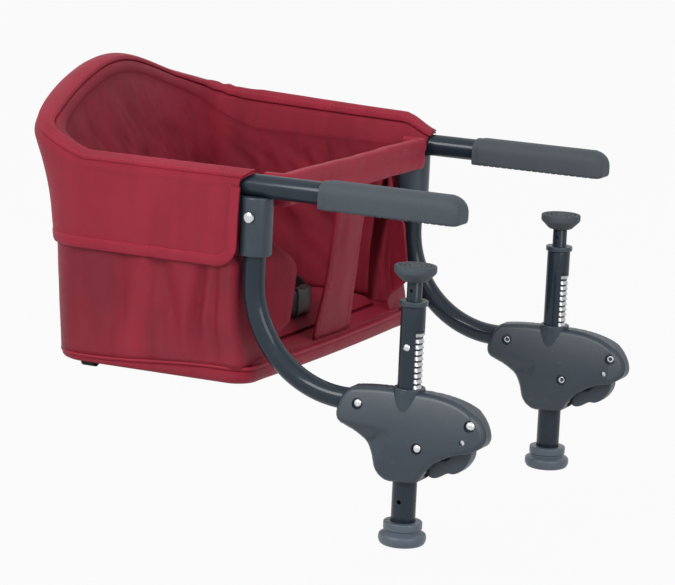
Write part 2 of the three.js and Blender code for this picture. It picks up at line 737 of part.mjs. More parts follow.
function trigger() {
  const finger = new THREE.Shape();
  finger.moveTo(PIVOT_X + 3, PIVOT_Z - 4);
  finger.lineTo(PIVOT_X - 5, PIVOT_Z - 2);
  finger.lineTo(SPRING_X + SPRING_RADIUS + 2, TRIGGER_SEAT);
  finger.lineTo(SPRING_X - SPRING_RADIUS - 2, TRIGGER_SEAT);
  finger.lineTo(TRIGGER_TIP_X, TRIGGER_SEAT - 6);
  finger.lineTo(TRIGGER_TIP_X, TRIGGER_TIP_Z);
  finger.quadraticCurveTo(TRIGGER_TIP_X + 9, TRIGGER_TIP_Z + 5, TRIGGER_TIP_X + 19, TRIGGER_TIP_Z + 6);
  finger.quadraticCurveTo(TRIGGER_TIP_X + 26, TRIGGER_TIP_Z + 16, TRIGGER_FRONT - 4, TRIGGER_TIP_Z + 18);
  finger.quadraticCurveTo(TRIGGER_FRONT, TRIGGER_TIP_Z + 22, PIVOT_X + 3, PIVOT_Z - 4);
  const reach = TRIGGER_ARM_WIDTH / 2;
  const arm = new THREE.Shape();
  arm.moveTo(TRIGGER_ARM_X - reach, TRIGGER_ARM_TOP);
  arm.lineTo(TRIGGER_ARM_X + reach, TRIGGER_ARM_TOP);
  arm.lineTo(TRIGGER_ARM_X + reach, PAWL_TOP - PAWL_HEIGHT);
  arm.lineTo(PIVOT_X, PIVOT_Z + 3);
  arm.lineTo(PIVOT_X - 2, PIVOT_Z - 4);
  arm.lineTo(TRIGGER_ARM_X - reach, PAWL_TOP - PAWL_HEIGHT - 2);
  const half = TRIGGER_WIDTH / 2;
  return cut(
    join(
      standing(finger, TRIGGER_WIDTH),
      standing(arm, TRIGGER_ARM_DEPTH),
      crossways(PIVOT_BOSS, PIVOT_X, PIVOT_Z, -half, half),
    ),
    crossways(PIVOT_RADIUS + SLIDE_GAP, PIVOT_X, PIVOT_Z, -half - 1, half + 1),
  );
}

function pivotPin() {
  const reach = flankAt(PIVOT_Z) - RIVET_RECESS;
  return crossways(PIVOT_RADIUS, PIVOT_X, PIVOT_Z, -reach, reach, 10);
}

function pawl() {
  const half = PAWL_WIDTH / 2;
  const bottom = PAWL_TOP - PAWL_HEIGHT;
  const body = block(PAWL_FACE, PAWL_REAR, -half, half, bottom, PAWL_TOP);
  const teeth = Array.from({ length: 2 }, (_, k) => {
    const low = bottom + 1 + k * RACK_PITCH;
    const shape = new THREE.Shape();
    shape.moveTo(PAWL_FACE + 1, low);
    shape.lineTo(PAWL_FACE, low);
    shape.lineTo(PAWL_FACE - PAWL_TOOTH, low + RACK_PITCH - 1);
    shape.lineTo(PAWL_FACE + 1, low + RACK_PITCH - 1);
    return standing(shape, PAWL_WIDTH);
  });
  const slotHalf = PAWL_SLOT / 2;
  const slotReach = TRIGGER_ARM_DEPTH / 2 + SLIDE_GAP;
  const slot = block(
    TRIGGER_ARM_X - slotHalf, TRIGGER_ARM_X + slotHalf, -slotReach, slotReach, bottom - 1, PAWL_TOP + 1,
  );
  return cut(join(body, ...teeth), slot);
}

function springPoints() {
  const steps = SPRING_TURNS * 8;
  const low = TRIGGER_SEAT + SPRING_WIRE + SEAM_GAP;
  const high = SPRING_CEILING - SPRING_WIRE - SEAM_GAP;
  return Array.from({ length: steps + 1 }, (_, k) => {
    const angle = (2 * Math.PI * SPRING_TURNS * k) / steps;
    const z = low + ((high - low) * k) / steps;
    return new THREE.Vector3(
      SPRING_X + SPRING_RADIUS * Math.cos(angle),
      SPRING_RADIUS * Math.sin(angle),
      z,
    );
  });
}

function springGap(points) {
  const turn = 8;
  const apart = points.slice(turn).map((p, k) => p.distanceTo(points[k]));
  return Math.min(...apart) - 2 * SPRING_WIRE;
}

function triggerSpring() {
  return swept(springPoints(), polygon(SPRING_WIRE, 5));
}

// Posts

function ring(outer, inner, z0, z1, sides = 24) {
  return turned([[inner, z0], [outer, z0], [outer, z1], [inner, z1], [inner, z0]], POST_X, sides);
}

function rackBottom() {
  return RACK_TOP - RACK_TEETH * RACK_PITCH;
}

function postTube() {
  const window = sector(
    POST_RADIUS + 2, -WINDOW_HALF_ANGLE, WINDOW_HALF_ANGLE,
    rackBottom() - SEAM_GAP, RACK_TOP + SEAM_GAP, POST_X,
  );
  return cut(
    ring(POST_RADIUS, POST_RADIUS - POST_WALL, POST_BOTTOM, POST_TOP),
    window,
    crossways(POST_HOLE_RADIUS, POST_X, POST_HOLE_Z, -POST_RADIUS - 1, 0, 8),
    crossways(RACK_RIVET_RADIUS + SLIDE_GAP, POST_X, RACK_RIVET_Z, -POST_RADIUS - 1, 0, 8),
  );
}

function postRack() {
  const bottom = rackBottom();
  const embedded = (RACK_INNER + POST_RADIUS - POST_WALL) / 2;
  const profile = [[embedded, RACK_TOP], [RACK_ROOT, RACK_TOP]];
  for (let k = 0; k < RACK_TEETH; k += 1) {
    const low = RACK_TOP - (k + 1) * RACK_PITCH;
    profile.push([RACK_TIP, low + 0.5], [RACK_ROOT, low]);
  }
  profile.push([embedded, bottom], [embedded, RACK_TOP]);
  const reach = POST_RADIUS + 3;
  const teeth = common(
    turned(profile, POST_X, 12),
    sector(reach, -RACK_HALF_ANGLE, RACK_HALF_ANGLE, bottom - 1, RACK_TOP + 1, POST_X),
  );
  const channelOuter = POST_RADIUS - POST_WALL - SLIDE_GAP;
  const channel = common(
    ring(channelOuter, RACK_INNER, bottom, RACK_TOP),
    sector(reach, -RACK_BACK_HALF_ANGLE, RACK_BACK_HALF_ANGLE, bottom - 1, RACK_TOP + 1, POST_X),
  );
  const hole = crossways(RACK_RIVET_RADIUS + SLIDE_GAP, POST_X, RACK_RIVET_Z, -POST_RADIUS - 1, 0, 8);
  return cut(join(channel, teeth), hole);
}

function rackRivet() {
  const seat = POST_RADIUS + SEAM_GAP;
  const points = [
    [0, -seat - 1.6],
    [RACK_RIVET_HEAD * 0.7, -seat - 1.2],
    [RACK_RIVET_HEAD, -seat],
    [RACK_RIVET_RADIUS, -seat],
    [RACK_RIVET_RADIUS, -RACK_INNER],
    [0, -RACK_INNER],
  ].map(([radius, y]) => new THREE.Vector2(radius, y));
  return new THREE.LatheGeometry(points, 10).translate(POST_X, 0, RACK_RIVET_Z);
}

function postCollar() {
  const seat = POST_TOP + SEAM_GAP;
  const bore = SPINDLE_RADIUS + SLIDE_GAP;
  const plug = POST_RADIUS - POST_WALL - SLIDE_GAP;
  const top = seat + COLLAR_HEIGHT;
  return turned([
    [bore, seat - COLLAR_PLUG],
    [plug, seat - COLLAR_PLUG],
    [plug, seat],
    [COLLAR_RADIUS, seat],
    [COLLAR_RADIUS, top - 1.2],
    [COLLAR_RADIUS - 1.2, top],
    [bore, top],
    [bore, seat - COLLAR_PLUG],
  ], POST_X);
}

// Spindles, pads and knobs

function spindle() {
  const top = PAD_TOP - PAD_HEIGHT + PAD_POCKET - SEAM_GAP;
  const bore = SCREW_RADIUS + SLIDE_GAP;
  const body = turned([
    [0, SPINDLE_BORE_TOP],
    [bore, SPINDLE_BORE_TOP],
    [bore, SPINDLE_BOTTOM],
    [SPINDLE_RADIUS, SPINDLE_BOTTOM],
    [SPINDLE_RADIUS, top],
    [0, top],
  ], POST_X, 16);
  const reach = SPINDLE_RADIUS + 1;
  return cut(body, crossways(SPINDLE_HOLE_RADIUS, POST_X, SPINDLE_HOLE_Z, -reach, reach, 8));
}

function pressurePad() {
  const bottom = PAD_TOP - PAD_HEIGHT;
  const pocket = SPINDLE_RADIUS + SLIDE_GAP;
  return turned([
    [0, PAD_TOP],
    [PAD_RADIUS - 1, PAD_TOP],
    [PAD_RADIUS, PAD_TOP - 1],
    [PAD_RADIUS, PAD_TOP - PAD_RIM],
    [PAD_HUB_RADIUS, bottom],
    [pocket, bottom],
    [pocket, bottom + PAD_POCKET],
    [0, bottom + PAD_POCKET],
  ], POST_X);
}

function driveScrew() {
  const seat = KNOB_BOTTOM + KNOB_FLOOR + SEAM_GAP;
  return upright(SCREW_RADIUS, POST_X, seat, SCREW_TOP, 10);
}

function footKnob() {
  const flangeTop = KNOB_BOTTOM + KNOB_FLANGE;
  const cup = POST_RADIUS + SLIDE_GAP;
  const cupFloor = POST_BOTTOM - SEAM_GAP;
  const screwBore = SCREW_RADIUS + SLIDE_GAP;
  const screwFloor = KNOB_BOTTOM + KNOB_FLOOR;
  return turned([
    [0, KNOB_BOTTOM],
    [KNOB_RADIUS - 3, KNOB_BOTTOM],
    [KNOB_RADIUS, KNOB_BOTTOM + 2.5],
    [KNOB_RADIUS, flangeTop - 2.5],
    [KNOB_RADIUS - 2, flangeTop],
    [KNOB_HUB_RADIUS, flangeTop],
    [KNOB_HUB_RADIUS, KNOB_TOP - 1.5],
    [KNOB_HUB_RADIUS - 1.5, KNOB_TOP],
    [cup, KNOB_TOP],
    [cup, cupFloor],
    [screwBore, cupFloor],
    [screwBore, screwFloor],
    [0, screwFloor],
  ], POST_X);
}

// Fabric seat

const SLEEVE_RADIUS = TUBE_RADIUS + SLIDE_GAP + SLEEVE;
const FLAP_OFFSET = SLEEVE_RADIUS + SEAM_GAP + CLOTH;
const PANEL_INSET = CLOTH + SEAM_GAP + 0.1;

// The sleeve is slit underneath where the sockets meet the tube
function rimSleeve() {
  const half = SADDLE_WIDTH / 2 + SEAM_GAP;
  const slit = (y) => block(
    SADDLE_REAR - SEAM_GAP, SLEEVE_FRONT + 1, y - half, y + half,
    TUBE_HEIGHT - SLEEVE_RADIUS - 1, SADDLE_TOP + SEAM_GAP,
  );
  return cut(pipe(sleevePoints(), SLEEVE_RADIUS, SLEEVE), slit(-ARM_PLANE), slit(ARM_PLANE));
}

// How far the outer skin stands out from the arm plane at a height
function skinOffset(z) {
  if (z >= FLAP_HEM) {
    const fall = (TUBE_HEIGHT - z) / (TUBE_HEIGHT - FLAP_HEM);
    return FLAP_OFFSET + FLAP_FLARE * fall;
  }
  const fall = (FLAP_HEM - z) / (FLAP_HEM - BASE_TOP);
  return THREE.MathUtils.lerp(FLAP_OFFSET + FLAP_FLARE, BAG_HALF_BOTTOM - ARM_PLANE, fall);
}

function sideFlap() {
  const surface = (u, v) => {
    const z = THREE.MathUtils.lerp(TUBE_HEIGHT, FLAP_HEM, v);
    const x = THREE.MathUtils.lerp(FLAP_FRONT, RAIL_BACK + SEAM_GAP / 2, u);
    return new THREE.Vector3(x, -skinOffset(z), z);
  };
  return clothSheet(surface, CLOTH, 6, 3);
}

// The rear run of the skin at one height: corner, back and corner, as a plan path
function rearPath(halfWidth, back) {
  const corner = RAIL_BACK - back;
  const path = new THREE.Path();
  path.absarc(RAIL_BACK, corner - halfWidth, corner, -Math.PI / 2, -Math.PI, true);
  path.lineTo(back, halfWidth - corner);
  path.absarc(RAIL_BACK, halfWidth - corner, corner, Math.PI, Math.PI / 2, true);
  return path;
}

const hoopRun = new THREE.CatmullRomCurve3(hoopPoints());
const hemRun = rearPath(ARM_PLANE + FLAP_OFFSET + FLAP_FLARE, BAG_BACK_HEM);
const baseRun = rearPath(BAG_HALF_BOTTOM, BAG_BACK_BOTTOM);

function rimEdge(u) {
  const out = Z_AXIS.clone().cross(hoopRun.getTangentAt(u)).setZ(0).normalize();
  return hoopRun.getPointAt(u).addScaledVector(out, FLAP_OFFSET + FLAP_BACK_EASE);
}

function hemEdge(u) {
  const { x, y } = hemRun.getPointAt(u);
  return new THREE.Vector3(x, y, FLAP_HEM);
}

function baseEdge(u) {
  const { x, y } = baseRun.getPointAt(u);
  return new THREE.Vector3(x, y, BASE_TOP + SEAM_GAP);
}

// Keeps the seams to the side pieces open
function insideSeams(u) {
  const margin = 0.0003;
  return THREE.MathUtils.lerp(margin, 1 - margin, u);
}

function backFlap() {
  const surface = (u, v) => rimEdge(insideSeams(u)).lerp(hemEdge(insideSeams(u)), v);
  return clothSheet(surface, CLOTH, HOOP_STEPS, 4);
}

function backPanel() {
  const rows = 5;
  const skin = (u, v) => {
    const run = insideSeams(u);
    const row = v * rows;
    if (row < 1) {
      const rim = rimEdge(run);
      const z = THREE.MathUtils.lerp(PANEL_TOP, FLAP_HEM, row);
      return rim.lerp(hemEdge(run), (rim.z - z) / (rim.z - FLAP_HEM));
    }
    const fall = (row - 1) / (rows - 1);
    const fold = FOLD_DEPTH * Math.sin(Math.PI * fall) * (1 - Math.cos(2 * Math.PI * FOLD_COUNT * u));
    const place = hemEdge(run).lerp(baseEdge(run), fall);
    return place.add(new THREE.Vector3(fold * Math.sin(Math.PI * u), 0, 0));
  };
  const inset = PANEL_INSET + SEAM_GAP;
  return sheet(behind(skin, inset), behind(skin, inset + PANEL_CLOTH), HOOP_STEPS, rows);
}

function sidePanel() {
  const surface = (u, v) => {
    const z = THREE.MathUtils.lerp(PANEL_TOP, BASE_TOP + SEAM_GAP, v);
    const fold = FOLD_DEPTH * Math.sin(Math.PI * v) * (1 - Math.cos(2 * Math.PI * FOLD_COUNT * u));
    const half = skinOffset(z) - PANEL_INSET;
    const inner = ARM_PLANE - THREE.MathUtils.lerp(RETURN_TOP_Y, RETURN_BOTTOM_Y, v);
    const path = new THREE.Path();
    path.moveTo(PANEL_FRONT, inner);
    path.lineTo(PANEL_FRONT, PANEL_CORNER - half);
    path.absarc(PANEL_FRONT - PANEL_CORNER, PANEL_CORNER - half, PANEL_CORNER, 0, -Math.PI / 2, true);
    path.lineTo(RAIL_BACK + SEAM_GAP, -half);
    const place = path.getPointAt(u);
    const still = THREE.MathUtils.smoothstep(u, 0.3, 0.5);
    return new THREE.Vector3(place.x, place.y + fold * still, z);
  };
  return clothSheet(surface, PANEL_CLOTH, 18, 4);
}

// The inner cloth hangs from the sleeve's inner side to the base, from one arm round the back to the other.
// Its upper edge is turned down on the right and stands above the tube on the left.
function lining() {
  const rim = new RingPath(sleevePoints());
  const columns = HOOP_STEPS + 2 * LINING_STEPS;
  const rows = 5;
  const face = (depth) => {
    const rimGap = SLEEVE_RADIUS + 4 * SEAM_GAP + depth;
    const skinGap = PANEL_INSET + PANEL_CLOTH + LINING_CLEARANCE + depth;
    const hem = rearPath(ARM_PLANE + FLAP_OFFSET + FLAP_FLARE - skinGap, BAG_BACK_HEM + skinGap);
    const foot = rearPath(BAG_HALF_BOTTOM - skinGap, BAG_BACK_BOTTOM + skinGap);
    const at = (run, share, z) => new THREE.Vector3(...run.getPointAt(share).toArray(), z);
    return (u, v) => {
      const step = Math.round(u * columns) - LINING_STEPS;
      const onHoop = THREE.MathUtils.clamp(step, 0, HOOP_STEPS);
      const ahead = Math.abs(step - onHoop) / LINING_STEPS;
      const tangent = rim.getTangentAt((onHoop + 1) / (HOOP_STEPS + 2));
      const out = Z_AXIS.clone().cross(tangent).setZ(0).normalize();
      const place = rim.points[onHoop + 1].clone().addScaledVector(out, -rimGap);
      const row = Math.round(v * rows);
      if (row === 0) {
        const raised = THREE.MathUtils.smoothstep(onHoop / HOOP_STEPS, 0.55, 0.9);
        place.addScaledVector(out, -LINING_LEAN);
        place.z += THREE.MathUtils.lerp(TUBE_RADIUS / 2, LINING_RISE, raised);
      } else if (row > 1) {
        const share = onHoop / HOOP_STEPS;
        place.lerp(at(hem, share, FLAP_HEM), Math.min((row - 1) / 2, 1));
        place.lerp(at(foot, share, BASE_TOP + SEAM_GAP), Math.max((row - 3) / 2, 0));
      }
      return place.setX(THREE.MathUtils.lerp(place.x, LINING_FRONT, ahead));
    };
  };
  return sheet(face(0), face(LINING), columns, rows);
}

function basePlan(inset) {
  const half = BAG_HALF_BOTTOM - PANEL_INSET - inset;
  const back = BAG_BACK_BOTTOM + PANEL_INSET + inset;
  const corner = RAIL_BACK - back;
  const front = PANEL_FRONT - inset;
  const shape = new THREE.Shape();
  shape.moveTo(front, -half + PANEL_CORNER);
  shape.lineTo(front, half - PANEL_CORNER);
  shape.absarc(front - PANEL_CORNER, half - PANEL_CORNER, PANEL_CORNER, 0, Math.PI / 2);
  shape.lineTo(back + corner, half);
  shape.absarc(back + corner, half - corner, corner, Math.PI / 2, Math.PI);
  shape.lineTo(back, corner - half);
  shape.absarc(back + corner, corner - half, corner, Math.PI, 1.5 * Math.PI);
  shape.lineTo(front - PANEL_CORNER, -half);
  shape.absarc(front - PANEL_CORNER, PANEL_CORNER - half, PANEL_CORNER, 1.5 * Math.PI, 2 * Math.PI);
  return shape;
}

function seatBase() {
  const geometry = new THREE.ExtrudeGeometry(basePlan(0), {
    depth: BASE_HEIGHT - 2 * BASE_EDGE,
    bevelThickness: BASE_EDGE,
    bevelSize: BASE_EDGE / 2,
    bevelOffset: -BASE_EDGE / 2,
    bevelSegments: 1,
    curveSegments: 5,
  });
  return geometry.translate(0, 0, BASE_TOP - BASE_HEIGHT + BASE_EDGE);
}

// Height of the cushion over the base at a place
function cushionRise(x, y) {
  const half = BAG_HALF_BOTTOM;
  const middle = (PANEL_FRONT + BAG_BACK_BOTTOM) / 2;
  const along = Math.min(Math.abs(x - middle) / (PANEL_FRONT - middle), 1);
  const across = Math.min(Math.abs(y) / half, 1);
  return CUSHION_SIDE + CUSHION_CROWN * (1 - along ** 4) * (1 - across ** 4);
}

function seatCushion() {
  const edge = basePlan(PANEL_CLOTH + CUSHION_INSET).getSpacedPoints(28);
  const middle = new THREE.Vector2((PANEL_FRONT + BAG_BACK_BOTTOM) / 2, 0);
  const floor = BASE_TOP + SEAM_GAP;
  const rings = [0.35, 0.62, 0.82, 0.94, 1];
  const profile = rings.map((share) => edge.map((p) => middle.clone().lerp(p, share)));
  const places = [[middle.x, middle.y, floor + cushionRise(middle.x, middle.y)]];
  const count = edge.length - 1;
  for (const line of profile) {
    for (const p of line.slice(0, count)) places.push([p.x, p.y, floor + cushionRise(p.x, p.y)]);
  }
  for (const p of edge.slice(0, count)) places.push([p.x, p.y, floor]);
  places.push([middle.x, middle.y, floor]);
  const index = [];
  const levels = rings.length + 1;
  for (let k = 0; k < count; k += 1) {
    const next = (k + 1) % count;
    index.push(0, 1 + k, 1 + next);
    for (let level = 0; level < levels - 1; level += 1) {
      const a = 1 + level * count;
      const b = a + count;
      index.push(a + k, b + k, b + next, a + k, b + next, a + next);
    }
    const low = 1 + (levels - 1) * count;
    index.push(places.length - 1, low + next, low + k);
  }
  const geometry = new THREE.BufferGeometry();
  geometry.setAttribute('position', new THREE.Float32BufferAttribute(places.flat(), 3));
  geometry.setIndex(index);
  return outward(geometry);
}

function frontBand() {
  const reach = ARM_PLANE - Math.max(BOSS_RADIUS, SLEEVE_RADIUS) - SEAM_GAP - BAND_DEPTH / 2;
  const middle = BAND_FRONT - BAND_DEPTH / 2;
  const half = [
    [BAND_END_X, -reach],
    [SLEEVE_FRONT, -reach],
    [SLEEVE_FRONT + 12, -reach + 5],
    [middle - 2, -BAND_SHOULDER_Y + 10],
    [middle, -BAND_SHOULDER_Y + 34],
  ];
  const places = [...half, ...half.map(([x, y]) => [x, -y]).reverse()];
  const z = BAND_TOP - BAND_HEIGHT / 2;
  const points = places.map(([x, y]) => new THREE.Vector3(x, y, z));
  const outline = Array.from({ length: 12 }, (_, k) => {
    const angle = (2 * Math.PI * k) / 12;
    const rounded = (value) => Math.sign(value) * Math.abs(value) ** 0.5;
    const up = rounded(Math.cos(angle)) * (BAND_HEIGHT / 2);
    return new THREE.Vector2(up, rounded(Math.sin(angle)) * (BAND_DEPTH / 2));
  });
  return swept(points, outline);
}

function crotchPanel() {
  const surface = (u, v) => {
    const draw = CROTCH_SIDE_DRAW * Math.sin(Math.PI * v);
    const width = THREE.MathUtils.lerp(CROTCH_TOP_WIDTH, CROTCH_BOTTOM_WIDTH, v) - draw;
    const top = BAND_TOP - BAND_HEIGHT - CROTCH_TOP_GAP;
    const z = THREE.MathUtils.lerp(top, BASE_TOP + SEAM_GAP, v);
    const x = THREE.MathUtils.lerp(BAND_FRONT - BAND_DEPTH / 2 + PANEL_CLOTH / 2, CROTCH_BOTTOM_X - 4, v);
    return new THREE.Vector3(x, (u - 0.5) * width, z);
  };
  return clothSheet(surface, -PANEL_CLOTH, 4, 6);
}

// A strap stands on edge on the cushion, from the side wall to the buckle
function waistStrap() {
  const line = new THREE.CatmullRomCurve3(STRAP_ROUTE.map(([x, y]) => new THREE.Vector3(x, -y, 0)));
  const surface = (u, v) => {
    const place = line.getPointAt(u);
    const foot = BASE_TOP + 2 * SEAM_GAP + cushionRise(place.x, place.y);
    return place.setZ(foot + SEAM_GAP + STRAP_WIDTH * (1 - v));
  };
  return clothSheet(surface, STRAP_CLOTH, 14, 1);
}

function beltBuckle() {
  const half = BUCKLE_LENGTH / 2;
  const depth = BUCKLE_DEPTH / 2;
  const foot = BASE_TOP + 2 * SEAM_GAP + cushionRise(BUCKLE_X - depth, 0);
  return block(BUCKLE_X - depth, BUCKLE_X + depth, -half, half, foot, foot + BUCKLE_HEIGHT);
}

// Assembly

const chair = new THREE.Group();

chair.add(
  named('upper_frame_tube', upperFrameTube(), paint),
  named('rim_sleeve', rimSleeve(), fabric),
  named('back_flap', backFlap(), fabric),
  named('back_panel', backPanel(), fabric),
  named('lining', lining(), liningCloth),
  named('seat_base', seatBase(), fabric),
  named('seat_cushion', seatCushion(), liningCloth),
  named('front_band', frontBand(), fabric),
  named('crotch_panel', crotchPanel(), fabric),
  named('belt_buckle', beltBuckle(), webbing),
);

const whole = housing();
console.log(`least gap in a trigger spring ${springGap(springPoints()).toFixed(2)} mm`);

for (const [side, place, mirror] of [['right', -ARM_PLANE, 1], ['left', ARM_PLANE, -1]]) {
  const arm = new THREE.Group();
  arm.position.y = place;
  arm.scale.y = mirror;
  arm.add(
    named(`grip_${side}`, grip(), rubber),
    named(`arm_socket_${side}`, armSocket(), plastic),
    named(`socket_screw_${side}`, socketScrew(), zinc),
    named(`swing_button_${side}`, swingButton(), zinc),
    named(`side_flap_${side}`, sideFlap(), fabric),
    named(`side_panel_${side}`, sidePanel(), fabric),
    named(`lower_arm_${side}`, lowerArm(), paint),
    named(`clamp_shell_outer_${side}`, housingHalf(whole, -1), plastic),
    named(`clamp_shell_inner_${side}`, housingHalf(whole, 1), plastic),
    named(`trigger_${side}`, trigger(), plastic),
    named(`trigger_pin_${side}`, pivotPin(), zinc),
    named(`trigger_spring_${side}`, triggerSpring(), zinc),
    named(`pawl_${side}`, pawl(), zinc),
    named(`post_tube_${side}`, postTube(), paint),
    named(`post_rack_${side}`, postRack(), zinc),
    named(`rack_rivet_${side}`, rackRivet(), zinc),
    named(`post_collar_${side}`, postCollar(), plastic),
    named(`spindle_${side}`, spindle(), paint),
    named(`pressure_pad_${side}`, pressurePad(), rubber),
    named(`drive_screw_${side}`, driveScrew(), zinc),
    named(`foot_knob_${side}`, footKnob(), knobPlastic),
  );
  for (const [spot, [x, z]] of Object.entries(RIVET_PLACES)) {
    arm.add(named(`clamp_rivet_${spot}_${side}`, clampRivet(x, z), zinc));
  }
  const seat = new THREE.Group();
  seat.scale.y = mirror;
  seat.add(named(`waist_strap_${side}`, waistStrap(), webbing));
  chair.add(arm, seat);
}

export default chair;
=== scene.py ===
"""Hook-on chair for a small child: a painted tube frame with rubber grips and ratchet clamps, and a fabric seat.

Sizes are millimetres in the frame's axes until a mesh is made, which turns them into metres.
The child looks along +X, and the right side is at -Y.
"""
import math
from collections import namedtuple

import bmesh
import bpy
from mathutils import Matrix, Vector, noise


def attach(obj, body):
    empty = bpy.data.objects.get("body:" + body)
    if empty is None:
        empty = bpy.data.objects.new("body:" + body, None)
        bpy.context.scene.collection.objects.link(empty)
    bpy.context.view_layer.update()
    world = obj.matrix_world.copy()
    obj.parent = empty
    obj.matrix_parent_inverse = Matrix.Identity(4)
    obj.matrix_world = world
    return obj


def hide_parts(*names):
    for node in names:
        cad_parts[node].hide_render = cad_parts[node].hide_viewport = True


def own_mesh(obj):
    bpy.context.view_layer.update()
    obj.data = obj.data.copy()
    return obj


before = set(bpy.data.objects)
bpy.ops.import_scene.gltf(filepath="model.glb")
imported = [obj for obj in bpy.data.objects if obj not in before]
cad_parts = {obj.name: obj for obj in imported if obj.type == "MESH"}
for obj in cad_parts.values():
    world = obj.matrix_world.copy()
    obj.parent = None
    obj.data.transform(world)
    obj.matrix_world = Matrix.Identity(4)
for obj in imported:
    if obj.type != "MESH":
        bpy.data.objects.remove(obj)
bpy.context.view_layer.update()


# View, floor and light: a long lens from the front right and a little above, a pale floor well below the seat,
# and soft light from above and behind the lens, so that a colour comes out about as it is written.

AZIMUTH = math.radians(25.42)
ELEVATION = math.radians(11.08)
ROLL = math.radians(2.65)
DISTANCE = 2.976
AIM = Vector((-0.0304, 0, -0.1106))
LENS = 167.5
FLOOR_Z = -0.46

lens_back = Vector((
    math.sin(AZIMUTH) * math.cos(ELEVATION),
    -math.cos(AZIMUTH) * math.cos(ELEVATION),
    math.sin(ELEVATION),
))
level = Vector((math.cos(AZIMUTH), math.sin(AZIMUTH), 0))
upward = lens_back.cross(level)
across = level * math.cos(ROLL) + upward * math.sin(ROLL)
above = upward * math.cos(ROLL) - level * math.sin(ROLL)

camera = bpy.data.objects.new("camera", bpy.data.cameras.new("camera"))
camera.data.lens = LENS
camera.data.sensor_width = 36
camera.matrix_world = Matrix.Translation(AIM + lens_back * DISTANCE) @ Matrix((
    (across.x, above.x, lens_back.x, 0),
    (across.y, above.y, lens_back.y, 0),
    (across.z, above.z, lens_back.z, 0),
    (0, 0, 0, 1),
))
bpy.context.scene.collection.objects.link(camera)
bpy.context.scene.camera = camera
bpy.context.scene.view_settings.view_transform = "Standard"


class Wire:
    """An output of a node. Arithmetic on it adds Math nodes to the same tree."""

    def __init__(self, net, socket):
        self.net = net
        self.socket = socket

    def maths(self, operation, first, second):
        return self.net.add("ShaderNodeMath", {"operation": operation}, {0: first, 1: second})

    def __add__(self, other):
        return self.maths("ADD", self, other)

    def __radd__(self, other):
        return self.maths("ADD", other, self)

    def __sub__(self, other):
        return self.maths("SUBTRACT", self, other)

    def __rsub__(self, other):
        return self.maths("SUBTRACT", other, self)

    def __mul__(self, other):
        return self.maths("MULTIPLY", self, other)

    def __rmul__(self, other):
        return self.maths("MULTIPLY", other, self)

    def sine(self):
        return self.maths("SINE", self, 0)

    def eased(self, low, high):
        settings = {"interpolation_type": "SMOOTHSTEP"}
        return self.net.add("ShaderNodeMapRange", settings, {"Value": self, "From Min": low, "From Max": high})


class Net:
    """A node tree that grows by one call for each node."""

    def __init__(self, tree):
        self.tree = tree

    def add(self, kind, settings=None, sockets=None, out=0):
        node = self.tree.nodes.new(kind)
        for name, value in (settings or {}).items():
            setattr(node, name, value)
        for name, value in (sockets or {}).items():
            if isinstance(value, Wire):
                self.tree.links.new(value.socket, node.inputs[name])
            else:
                node.inputs[name].default_value = value
        return Wire(self, node.outputs[out]) if len(node.outputs) else None

    def between(self, share, first, second):
        """A colour that goes from the first to the second as share goes from 0 to 1."""
        return self.add("ShaderNodeMix", {"data_type": "RGBA"}, {0: share, 6: first, 7: second}, out=2)

    def cloud(self, place, scale, detail=2.0):
        return self.add("ShaderNodeTexNoise", None, {"Vector": place, "Scale": scale, "Detail": detail})

    def raised(self, height, distance, strength=1.0):
        return self.add("ShaderNodeBump", None, {"Height": height, "Distance": distance, "Strength": strength})


def begin(name):
    """A bare material, its node tree and its Object coordinates."""
    material = bpy.data.materials.new(name)
    material.use_nodes = True
    material.node_tree.nodes.clear()
    net = Net(material.node_tree)
    return material, net, net.add("ShaderNodeTexCoord", out="Object")


def close(net, sockets):
    shader = net.add("ShaderNodeBsdfPrincipled", None, sockets)
    net.add("ShaderNodeOutputMaterial", None, {"Surface": shader})


def seen(net):
    """1 where a ray comes straight from the camera, a mirror or glass."""
    rays = [net.add("ShaderNodeLightPath", out=f"Is {kind} Ray") for kind in ("Camera", "Glossy", "Transmission")]
    total = rays[0] + rays[1] + rays[2]
    return total.maths("MINIMUM", total, 1.0)


def pale_floor():
    material, net, place = begin("pale_floor")
    speckle = net.cloud(place, 40.0)
    tone = net.between(speckle, (0.5, 0.5, 0.5, 1), (0.56, 0.56, 0.56, 1))
    matt = net.add("ShaderNodeBsdfDiffuse", None, {"Color": tone})
    glow = net.add("ShaderNodeEmission", None, {"Color": (1, 1, 1, 1), "Strength": 1.0})
    shader = net.add("ShaderNodeMixShader", None, {0: seen(net) * 0.93, 1: matt, 2: glow})
    net.add("ShaderNodeOutputMaterial", None, {"Surface": shader})
    return material


floor_mesh = bpy.data.meshes.new("floor")
floor_mesh.from_pydata([(x, y, FLOOR_Z) for x, y in ((-9, -9), (9, -9), (9, 9), (-9, 9))], [], [(0, 1, 2, 3)])
floor_mesh.materials.append(pale_floor())
floor = bpy.data.objects.new("floor", floor_mesh)
bpy.context.scene.collection.objects.link(floor)

world = bpy.data.worlds.new("studio")
world.use_nodes = True
world.node_tree.nodes.clear()
sky = Net(world.node_tree)
heading = sky.add("ShaderNodeTexCoord", out="Generated")
height = sky.add("ShaderNodeSeparateXYZ", None, {0: heading}, out="Z")
plain = 0.16 + 0.6 * height.eased(-0.3, 0.9)
sky_level = plain + (1 - plain) * seen(sky)
sky_shader = sky.add("ShaderNodeBackground", None, {"Color": (1, 1, 1, 1), "Strength": sky_level})
sky.add("ShaderNodeOutputWorld", None, {"Surface": sky_shader})
bpy.context.scene.world = world


